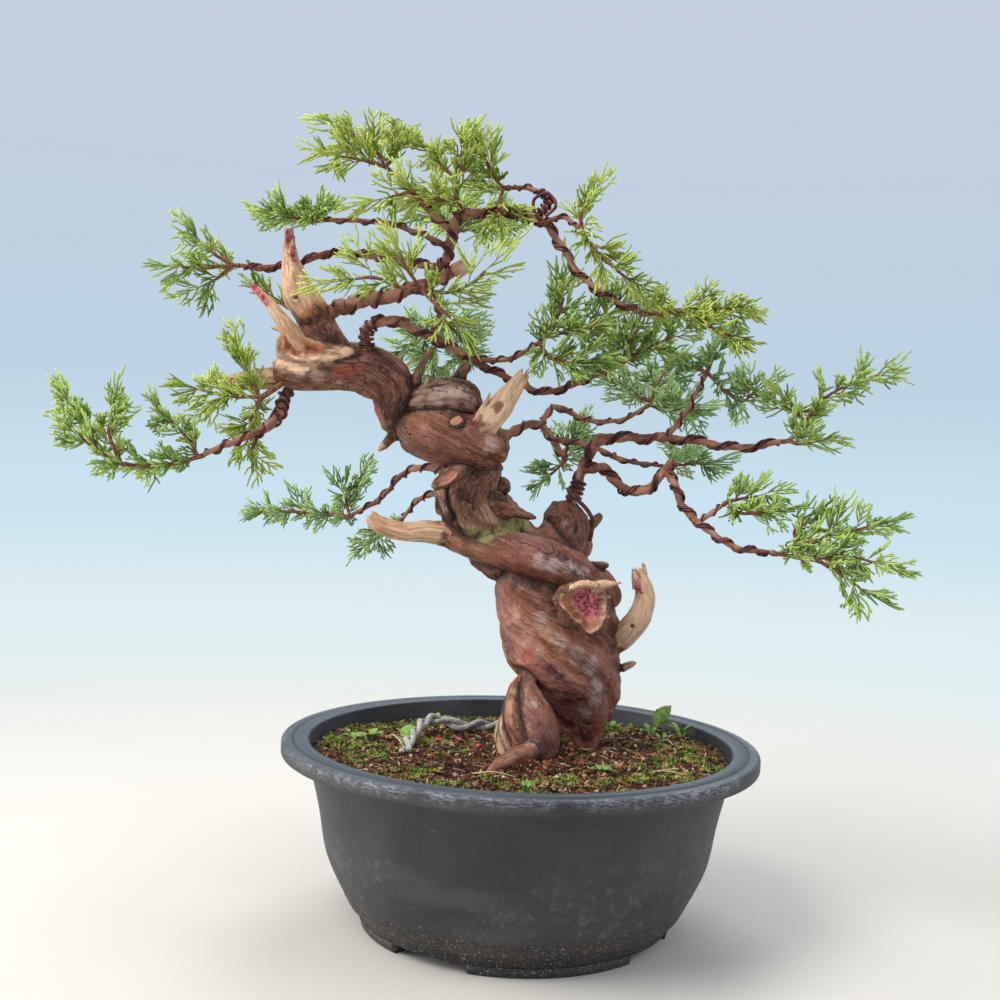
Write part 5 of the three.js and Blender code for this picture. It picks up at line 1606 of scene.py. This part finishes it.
def sprays_on(route, buds, spray, full, rng):
    """The sprays of one stem: the source's own, finer ones about each of them and more between."""
    laid = []
    for at, way, length, slim, spin in buds:
        laid.append((at, way, length, slim, spin))
        for _ in range(int(1.7 * full + rng.random())):
            twist = unit(way + rng.normal(0, 0.42, 3))
            laid.append((at + way * rng.uniform(0, 0.22) * length, twist,
                         length * rng.uniform(0.56, 0.86), rng.uniform(0.7, 1.1),
                         rng.uniform(0, math.pi)))
    extra = int(route.length / FILL_SPACING * full + rng.random())
    for i in range(extra):
        t = route.even((i + rng.uniform(0.3, 1.0)) / extra)
        along = route.way(t)[0]
        across, above = square_to(along)
        turn = GOLDEN_ANGLE * i + rng.uniform(0, 1.5)
        lean = rng.uniform(0.6, 1.6)
        way = unit(lean * along + math.cos(turn) * across + math.sin(turn) * above + LIFT * UP)
        laid.append((route.at(t)[0], way, spray * rng.uniform(0.5, 0.84),
                     rng.uniform(0.7, 1.0), rng.uniform(0, math.pi)))
    return laid


def grow_mass(name, mass, sprays, twigs):
    """One mass: its stems and the thin leaders of its sprays go to twigs, its shoots to sprays."""
    start, family, spray, seed, stems = mass
    draw, rng = seeded(seed), np.random.default_rng(seed)
    if not isinstance(start, str):
        add_limb(twigs, start, (2.2, 2.0), seed, 1.5, 8)
    laid = []
    for number, points in enumerate(stem_routes(start, stems)):
        route = Route(points)
        add_limb(twigs, points, (1.9 if number == 0 else 1.4, 0.8), seed + number, 1.8, 7)
        buds = buds_of(route, spray * SHORTER.get(name, 1), draw)
        laid += sprays_on(route, buds, spray, FULLNESS.get(name, 1.0), rng)
    for at, way, length, slim, spin in laid:
        kinds = NEEDLES if rng.random() < (0.5 if family == "bright" else 0.35) else FANS
        template = kinds[rng.integers(0, len(kinds))]
        lines, thick, kind = lay_spray(at, way, length, max(0.75, slim), spin, template,
                                       rng.uniform(-0.12, 0.14))
        lines[..., 2] = below_top(lines[..., 2])
        tone = rng.choice([0, 1, 2], p=[0.25, 0.53, 0.22])
        shade = np.clip(np.where(kind == 2, tone - 1, tone) + (rng.random(len(kind)) < 0.1), 0, 2)
        leafy = kind > 0
        for value in range(3):
            chosen = leafy & (shade == value)
            if chosen.any():
                shoots = shoot_meshes(lines[chosen], thick[chosen] * SHOOT_RADIUS)
                sprays.add(*shoots, FAMILIES.index(family) * 3 + value)
        if (~leafy).any():
            shoots = shoot_meshes(lines[~leafy], thick[~leafy] * 0.55)
            twigs.add(*shoots, 1, height=0.5, bare=0.0)


def make_foliage():
    for part, masses in CROWN_PARTS.items():
        sprays, twigs = Heap(), Heap()
        for name, mass in masses.items():
            grow_mass(name, mass, sprays, twigs)
        family = list(masses.values())[0][1]
        sprays.piece(part, LEAVES, family + "_leaf", list(masses))
        twigs.piece(part.replace("sprays", "twigs"), [BROWN_TWIG, YOUNG_TWIG], "bough_bark")


# Pot and soil

POT_SIDES = 180


def arc(centre, radius, start, stop, count=5):
    """A rounded edge in an outline, from one angle to another, in degrees."""
    angle = np.radians(np.linspace(start, stop, count))
    return [[centre[0] + radius * math.cos(a), centre[1] + radius * math.sin(a)] for a in angle]


def make_pot():
    lip = POT_HEIGHT - 10
    wall = Route([[121.8, 0, 27.6], [128, 0, 40], [133, 0, 53], [138, 0, 80], [142, 0, 97],
                  [146.5, 0, lip - 2]])
    t = np.linspace(0, 1, 60)
    side = wall.at(t)[:, [0, 2]].tolist()
    profile = [[0, FOOT_HEIGHT], [90, FOOT_HEIGHT], [97, FOOT_HEIGHT], [FOOT_RADIUS - 1, FOOT_HEIGHT],
               [FOOT_RADIUS + 1.2, FOOT_HEIGHT + 0.6], [FOOT_RADIUS + 3.6, 13.6],
               [FOOT_RADIUS + 4.4, 14.6], [FOOT_RADIUS + 7.6, 15.4], [FOOT_RADIUS + 9, 16.6],
               [FOOT_RADIUS + 12.6, 23], [120.9, 26.2], *side,
               [148.5, lip], [RIM_RADIUS - 4, lip], *arc((RIM_RADIUS - 2, lip + 2), 2, -90, 0),
               *arc((RIM_RADIUS - 2.5, POT_HEIGHT - 2.5), 2.5, 0, 90),
               [RIM_RADIUS - 7, POT_HEIGHT], [RIM_RADIUS - 7.4, POT_HEIGHT - 0.9],
               [RIM_RADIUS - 8.4, POT_HEIGHT - 0.9], [RIM_RADIUS - 8.8, POT_HEIGHT],
               *arc((MOUTH_RADIUS + 2, POT_HEIGHT - 2), 2, 90, 180), [MOUTH_RADIUS - 1, 121],
               [MOUTH_RADIUS - 2.5, 115], [134, 72], [124, 40], [94, 13], [0, 13]]
    points, quads = lathe(profile, POT_SIDES)
    height = points[:, 2]
    radius = np.hypot(points[:, 0], points[:, 1])
    heap = Heap()
    edge = ramp(radius, RIM_RADIUS - 5, RIM_RADIUS - 0.5) * ramp(height, lip + 1, lip + 7)
    # top: the flat of the rim, painted bluer and lighter as a reflection of the sky
    top = ramp(height, POT_HEIGHT - 1.2, POT_HEIGHT - 0.2) * ramp(radius, 140, 146)
    dust = (1 - ramp(height, 8, 60)) * ramp(radius, 80, 100)
    # low: the band under the chamfer and the feet, partly grime and partly painted shade
    heap.add(points, [quads], edge=edge, top=top, dust=dust, low=1 - ramp(height, 26, 28),
             chalk=ramp(height, 26, 30) * (1 - ramp(height, 62, 84)))
    for i in range(4):
        middle = math.radians(90 * i - 75)
        spread = np.linspace(-math.radians(30), math.radians(30), 31) + middle
        inside, outside = FOOT_RADIUS - FOOT_WIDTH, FOOT_RADIUS
        section = [[inside, FOOT_HEIGHT + 1], [inside + 0.4, 0.6], [inside + 1, 0], [outside - 1, 0],
                   [outside - 0.2, 0.6], [outside + 1.6, FOOT_HEIGHT + 1]]
        shape = np.array([[[r * math.cos(a), r * math.sin(a), z] for r, z in section] for a in spread])
        rows, count = shape.shape[:2]
        ends = [np.arange(count)[None], ((rows - 1) * count + np.arange(count))[None, ::-1]]
        heap.add(shape.reshape(-1, 3), [band_faces(rows, count), *ends], dust=1.0, low=1.0)
    heap.piece("nursery_pot", [POT_PLASTIC], "pot", ["pot"])


def soil_height(x, y):
    """How high the soil lies at each place."""
    place = np.stack([x, y, x * 0], -1)
    radius = np.hypot(x, y)
    mound = 2.5 * np.exp(-((x - 25) ** 2 + (y - 10) ** 2) / 60 ** 2)
    mound = mound + 6 * np.where(x > 0, ramp(x, 50, 125), ramp(-x, 98, 142))
    return (SOIL_TOP - 3.2 + mound - 2.2 * ramp(radius, 95, 143)
            + 3.2 * (rough(place / 24, 3, 71) - 0.5) + 2.6 * (rough(place / 3.2, 2, 73) - 0.5))


def make_soil():
    rings, sides = 130, 320
    radius = np.linspace(0.2, MOUTH_RADIUS - 2.2, rings)[:, None]
    x, y = (radius * np.cos(around(sides))).ravel(), (radius * np.sin(around(sides))).ravel()
    top = np.stack([x, y, soil_height(x, y)], -1)
    skirt = top[-sides:] * np.array([0.97, 0.97, 0]) + UP * SOIL_UNDERSIDE
    peak = soil_height(np.zeros(1), np.zeros(1))[0]
    points = np.vstack([top, skirt, [[0, 0, SOIL_UNDERSIDE], [0, 0, peak]]])
    quads = band_faces(rings + 1, sides)
    ring, last = np.arange(sides), (rings + 1) * sides
    caps = np.vstack([cap_faces(last, ring + rings * sides), cap_faces(last + 1, ring)])
    kind = 3 * (rough(points[quads[:, 0]] / 3.0, 2, 79) > 0.55)
    heap = Heap()
    heap.add(points, [quads, caps], [kind, 0])
    heap.piece("soil_bed", SOIL_GRAINS, "soil", ["soil"])


def chips(centres, sizes, rng):
    """Small uneven stones: stretched and turned eight-sided lumps."""
    count = len(centres)
    corners = np.array([[1, 0, 0], [-1, 0, 0], [0, 1, 0], [0, -1, 0], [0, 0, 1], [0, 0, -1.0]])
    shape = corners[None] * rng.uniform(0.6, 1.25, (count, 6, 1)) * rng.uniform(0.6, 1.3, (count, 1, 3))
    turn = np.linalg.qr(rng.normal(size=(count, 3, 3)))[0]
    points = centres[:, None] + np.einsum("nij,nkj->nki", turn, shape * sizes[:, None, None])
    faces = np.array([[0, 2, 4], [2, 1, 4], [1, 3, 4], [3, 0, 4],
                      [2, 0, 5], [1, 2, 5], [3, 1, 5], [0, 3, 5]])
    flip = np.linalg.det(turn) < 0
    all_faces = faces[None] + np.arange(count)[:, None, None] * 6
    all_faces[flip] = all_faces[flip][..., ::-1]
    return points.reshape(-1, 3), all_faces.reshape(-1, 3)


def scattered(rng, count, margin):
    """Random places on the soil that keep a margin from the pot's mouth."""
    radius = np.sqrt(rng.random(count)) * (MOUTH_RADIUS - margin)
    angle = rng.uniform(0, 2 * math.pi, count)
    return radius * np.cos(angle), radius * np.sin(angle)


# Where the trunk, its leg and its surface root meet the soil, [x, y, radius]
TRUNK_FEET = [[48, 25, 9], [12, -8, 12], [2, -24, 6], [-10, -38, 4]]


def clear_of_trunk(x, y):
    """Whether each place is free of the trunk."""
    return np.all([np.hypot(x - a, y - b) > reach for a, b, reach in TRUNK_FEET], 0)


GRAINS = 9000
LITTER = 1500  # bits of bark and dead shoots
MOSS_TRIES = 40000
MOSS_TUFTS = 12000  # at most


def make_granules():
    rng = np.random.default_rng(5)
    x, y = scattered(rng, GRAINS, 4.5)
    keep = clear_of_trunk(x, y)
    x, y = x[keep], y[keep]
    sizes = 0.7 + 1.9 * rng.random(len(x)) ** 2.2
    points, faces = chips(np.stack([x, y, soil_height(x, y) + sizes * 0.3], -1), sizes, rng)
    kind = np.repeat(rng.choice([0, 1, 2, 3], len(x), p=[0.34, 0.27, 0.11, 0.28]), 8)
    heap = Heap()
    heap.add(points, [faces], kind)
    x, y = scattered(rng, LITTER, 9)
    keep = clear_of_trunk(x, y)
    x, y = x[keep], y[keep]
    turn, half = rng.uniform(0, 2 * math.pi, len(x)), rng.uniform(1.2, 4.2, len(x))
    reach = np.stack([np.cos(turn) * half, np.sin(turn) * half, rng.normal(0, 0.5, len(x))], -1)
    middle = np.stack([x, y, soil_height(x, y) + rng.uniform(0.7, 2.0, len(x))], -1)
    lines = np.stack([middle - reach, middle + rng.normal(0, 0.3, middle.shape), middle + reach], 1)
    points, faces = shoot_meshes(lines, rng.uniform(0.3, 0.75, len(x)))
    kind = rng.choice([0, 1, 2, 3], len(x), p=[0.2, 0.3, 0.35, 0.15])
    heap.add(points, faces, shoot_kinds(kind))
    heap.piece("soil_granules", SOIL_GRAINS, "soil", smooth=False)


# Where moss grows thickest, [x, y, radius]
MOSS_SPOTS = [
    [-122, 0, 22], [-104, -30, 24], [-93, 86, 24], [-120, 50, 22], [-45, 116, 26], [116, -18, 26],
    [112, 28, 20], [88, -50, 26], [-42, -94, 22], [4, -108, 18], [-74, -66, 22], [70, 100, 22],
    [30, 118, 20], [-70, 30, 14], [-20, 80, 20], [60, -104, 16], [30, -70, 12],
]


def make_moss():
    rng = np.random.default_rng(8)
    x, y = scattered(rng, MOSS_TRIES, 5)
    places = np.stack([x, y, x * 0], -1)
    spots = [np.exp(-((x - a) ** 2 + (y - b) ** 2) / r ** 2) for a, b, r in MOSS_SPOTS]
    patch = 0.9 * rough(places / 11, 4, 83) + 0.06 + 0.35 * np.max(spots, 0)
    chance = 0.9 * ramp(patch, 0.56, 0.84) + 0.05
    keep = np.flatnonzero(clear_of_trunk(x, y) & (rng.random(len(x)) < chance))[:MOSS_TUFTS]
    x, y, places, patch = x[keep], y[keep], places[keep], patch[keep]
    root = np.stack([x, y, soil_height(x, y)], -1)
    lean = np.stack([rng.normal(0, 0.6, len(x)), rng.normal(0, 0.6, len(x)), np.ones(len(x))], -1)
    tip = root + unit(lean) * (rng.uniform(0.9, 2.0, len(x)) + 1.2 * ramp(patch, 0.6, 0.9))[:, None]
    lines = np.stack([root, (root + tip) / 2, tip], 1)
    points, faces = shoot_meshes(lines, rng.uniform(0.26, 0.5, len(lines)))
    kind = (rough(places / 5, 2, 89) + rng.normal(0, 0.12, len(x)) > 0.5).astype(int)
    heap = Heap()
    heap.add(points, faces, shoot_kinds(kind))
    heap.piece("moss", [MOSS, MOSS_TIPS], "soil")


def leaf_blade(root, tip, width, facing):
    """A small pointed leaf with a fold along its middle: points and faces, thin but closed."""
    along = tip - root
    side = unit(np.cross(along, facing))
    spine = [root + along * s + facing * 0.12 * np.linalg.norm(along) * math.sin(s * 3) for s in
             (0, 0.25, 0.55, 0.82, 1)]
    half = np.array([0.06, 0.8, 1.0, 0.6, 0.03]) * width / 2
    top = [np.stack([c - side * h + facing * h * 0.35, c, c + side * h + facing * h * 0.35])
           for c, h in zip(spine, half)]
    top = np.concatenate(top)
    points = np.vstack([top, top - facing * 0.25])
    faces = []
    for i in range(4):
        for j in range(2):
            a = i * 3 + j
            faces.append([a, a + 1, a + 4, a + 3])
            faces.append([a + 15 + 3, a + 15 + 4, a + 15 + 1, a + 15])
        a = i * 3
        faces.append([a + 3, a + 18, a + 15, a])
        faces.append([a + 2, a + 17, a + 20, a + 5])
    return points, [np.array(faces)]


WEEDS = [  # root, number of leaves, leaf length, width, first angle, lift
    ([97, 78, 117], 1, 19, 12, 0.1, 1.5), ([98, 76, 117], 4, 9, 4.5, 1.0, 0.6),
    ([-82, 8, 117], 1, 15, 12, 1.3, 1.2), ([-80, 12, 117], 2, 9, 7, 2.6, 0.6),
    ([-109, 26, 117], 6, 9, 6.5, 0.2, 0.6), ([-118, 14, 117], 4, 7, 5, 0.9, 0.5),
    ([120, 60, 117], 5, 11, 4, 2.2, 0.9), ([55, -44, 116], 4, 7, 6, 0.9, 0.35),
    ([5, -98, 116], 6, 6.5, 3.4, 1.1, 0.8), ([-66, 96, 116], 5, 9, 5, 0.5, 0.7),
    ([70, 92, 116], 4, 8, 5, 2.8, 0.7), ([104, 40, 116], 4, 7, 3.6, 0.4, 0.8),
]
# Thin dry roots on the soil
ROOTLETS = [[[86, -52, 119], [96, -50, 121], [108, -42, 120.5], [120, -36, 119]],
            [[94, -46, 119], [100, -54, 121], [112, -56, 119]],
            [[-96, 22, 119], [-90, 12, 123], [-84, 4, 120], [-80, -8, 118]],
            [[100, 44, 119], [106, 30, 124], [112, 20, 119]],
            [[-30, -70, 118], [-16, -76, 121], [-2, -74, 118]]]
# Petals, [x, y, the way each one points in radians]
PETALS = [[-62, 30, 0.4], [-58, 26, 1.9], [-44, 34, 2.6], [-46, 28, 0.2], [-30, 10, 1.2]]
# The twisted wire that lies behind the trunk: the middle of its two strands
WIRE_LOOP = [
    [-79, -14, 118], [-78, 8, 121.5], [-74, 36, 125], [-67, 58, 126], [-56, 64, 124], [-45, 62, 121.5],
    [-33, 69, 121], [-18, 82, 118.5],
]
WIRE_LOOP_PITCH = 42  # mm a turn


def make_weeds():
    heap = Heap()
    rng = np.random.default_rng(12)
    for root, count, length, width, first, lift in WEEDS:
        root = np.array(root, float)
        root[2] = soil_height(root[:1], root[1:2])[0]
        for i in range(count):
            angle = first + i * GOLDEN_ANGLE
            way = heading(angle, lift * rng.uniform(0.8, 1.2))
            reach = length * rng.uniform(0.8, 1.1)
            start = root + way * reach * 0.35
            stalk = np.stack([root, (root + start) / 2, start + way])
            heap.add(*tube(stalk, [0.5, 0.45, 0.35], 6))
            facing = unit(np.cross(np.cross(way, UP), way))
            if count == 1:
                facing = unit(facing + np.array([0, -1.6, 0]))
            heap.add(*leaf_blade(start, start + way * reach, width, facing))
    for x, y, angle in PETALS:
        root = np.array([x, y, soil_height(np.array([x]), np.array([y]))[0] + 1.6])
        tip = root + 5 * np.array([math.cos(angle), math.sin(angle), 0.15])
        heap.add(*leaf_blade(root, tip, 4, UP), finish=1)
    for line in ROOTLETS:
        t, centres = Route(line).walk(1.5)
        heap.add(*tube(centres, np.linspace(0.6, 0.3, len(t)), 6), finish=2)
    heap.piece("weeds", [WEED, PETAL, ROOTLET], "soil")


def make_wire_loop():
    loop = Heap()
    route = Route(WIRE_LOOP)
    t, centres = route.walk(0.9)
    turn = np.linspace(0, route.length / WIRE_LOOP_PITCH * 2 * math.pi, len(t))
    for half in (0, math.pi):
        loop.add(*tube(wound(centres, turn + half, 2.4), np.full(len(t), 2.1), 10))
    loop.piece("old_wire_loop", [GREY_WIRE], "soil")


make_trunk()
make_deadwood()
make_boughs()
make_wires()
make_foliage()
make_pot()
make_soil()
make_granules()
make_moss()
make_weeds()
make_wire_loop()

# Camera, floor and light

CAMERA_BACK = 901  # from the pot's axis
CAMERA_HEIGHT = 321
FOCAL_PIXELS = 1297  # for the 1000 pixels of the picture's width
FLOOR_RADIUS = 3.0  # m
PITCH, YAW, ROLL = (math.radians(a) for a in (1.78, -1.31, 2.21))


def make_camera():
    ahead = Vector((math.sin(YAW) * math.cos(PITCH), math.cos(YAW) * math.cos(PITCH), -math.sin(PITCH)))
    level = Vector((math.cos(YAW), -math.sin(YAW), 0))
    upright = level.cross(ahead)
    right = math.cos(ROLL) * level + math.sin(ROLL) * upright
    top = -math.sin(ROLL) * level + math.cos(ROLL) * upright
    data = bpy.data.cameras.new("photo_camera")
    data.sensor_width = 36
    data.lens = FOCAL_PIXELS / 1000 * data.sensor_width
    data.clip_start, data.clip_end = 0.05, 50
    camera = placed("photo_camera", data)
    turn = Matrix((right, top, -ahead)).transposed().to_4x4()
    place = Vector((AXIS[0], AXIS[1] - CAMERA_BACK / 1000, CAMERA_HEIGHT / 1000))
    camera.matrix_world = Matrix.Translation(place) @ turn
    bpy.context.scene.camera = camera
    bpy.context.scene.view_settings.view_transform = "Standard"


def make_light(name, place, aim, size, power, colour):
    data = bpy.data.lights.new(name, "AREA")
    data.shape, data.size, data.energy, data.color = "DISK", size, power, colour
    light = placed(name, data)
    light.location = place
    light.rotation_mode = "QUATERNION"
    light.rotation_quaternion = (Vector(aim) - Vector(place)).to_track_quat("-Z", "Y")


def make_floor():
    """A pale studio floor that fades out some way from the pot."""
    mesh = bpy.data.meshes.new("floor")
    rim = [(FLOOR_RADIUS * math.cos(a), FLOOR_RADIUS * math.sin(a), 0) for a in around(96)]
    mesh.from_pydata(rim, [], [list(range(len(rim)))])
    f = Finish("pale_floor", Roughness=0.85, Specular_IOR_Level=0.15)
    f.feed("Base Color", f.mix(f.noise(3, 3), rgb(203, 197, 187), rgb(211, 205, 195)))
    far = f.node("ShaderNodeVectorMath", {"operation": "LENGTH"}, {0: f.place}, out="Value")
    f.feed("Alpha", 1 - far.between(0.3, 1.1))
    mesh.materials.append(f.material)
    floor = placed("floor", mesh)


# The studio's light all round: its colour at each sine of the angle above eye level
STUDIO = [(-0.40, (246, 240, 233)), (-0.22, (238, 241, 238)), (-0.12, (222, 238, 241)),
          (-0.04, (202, 227, 240)), (0.08, (189, 210, 227)), (0.32, (197, 207, 223))]


def make_world():
    world = bpy.data.worlds.new("studio")
    world.use_nodes = True
    sky = Nodes(world.node_tree)
    place = sky.node("ShaderNodeTexCoord", out="Generated")
    level = sky.node("ShaderNodeSeparateXYZ", None, {0: place}, out="Z")
    colour = rgb(*STUDIO[0][1])
    for (low, _), (high, tint) in zip(STUDIO, STUDIO[1:]):
        colour = sky.mix(level.between(low, high), colour, rgb(*tint))
    sky.tree.links.new(colour.socket, sky.tree.nodes["Background"].inputs["Color"])
    bpy.context.scene.world = world


make_camera()
make_floor()
make_world()
make_light("key_light", (-1.1, -0.9, 2.0), (0, 0, 0.3), 1.3, 42, (1.0, 0.98, 0.95))
make_light("side_light", (1.6, -0.6, 1.3), (0, 0, 0.3), 1.0, 8, (0.97, 0.98, 1.0))
make_light("window_light", (-1.9, -0.1, 0.5), (0, 0, 0.15), 0.9, 20, (1.0, 0.99, 0.97))
make_light("back_light", (0.2, 1.4, 1.9), (0, 0, 0.35), 1.2, 20, (1.0, 1.0, 1.0))
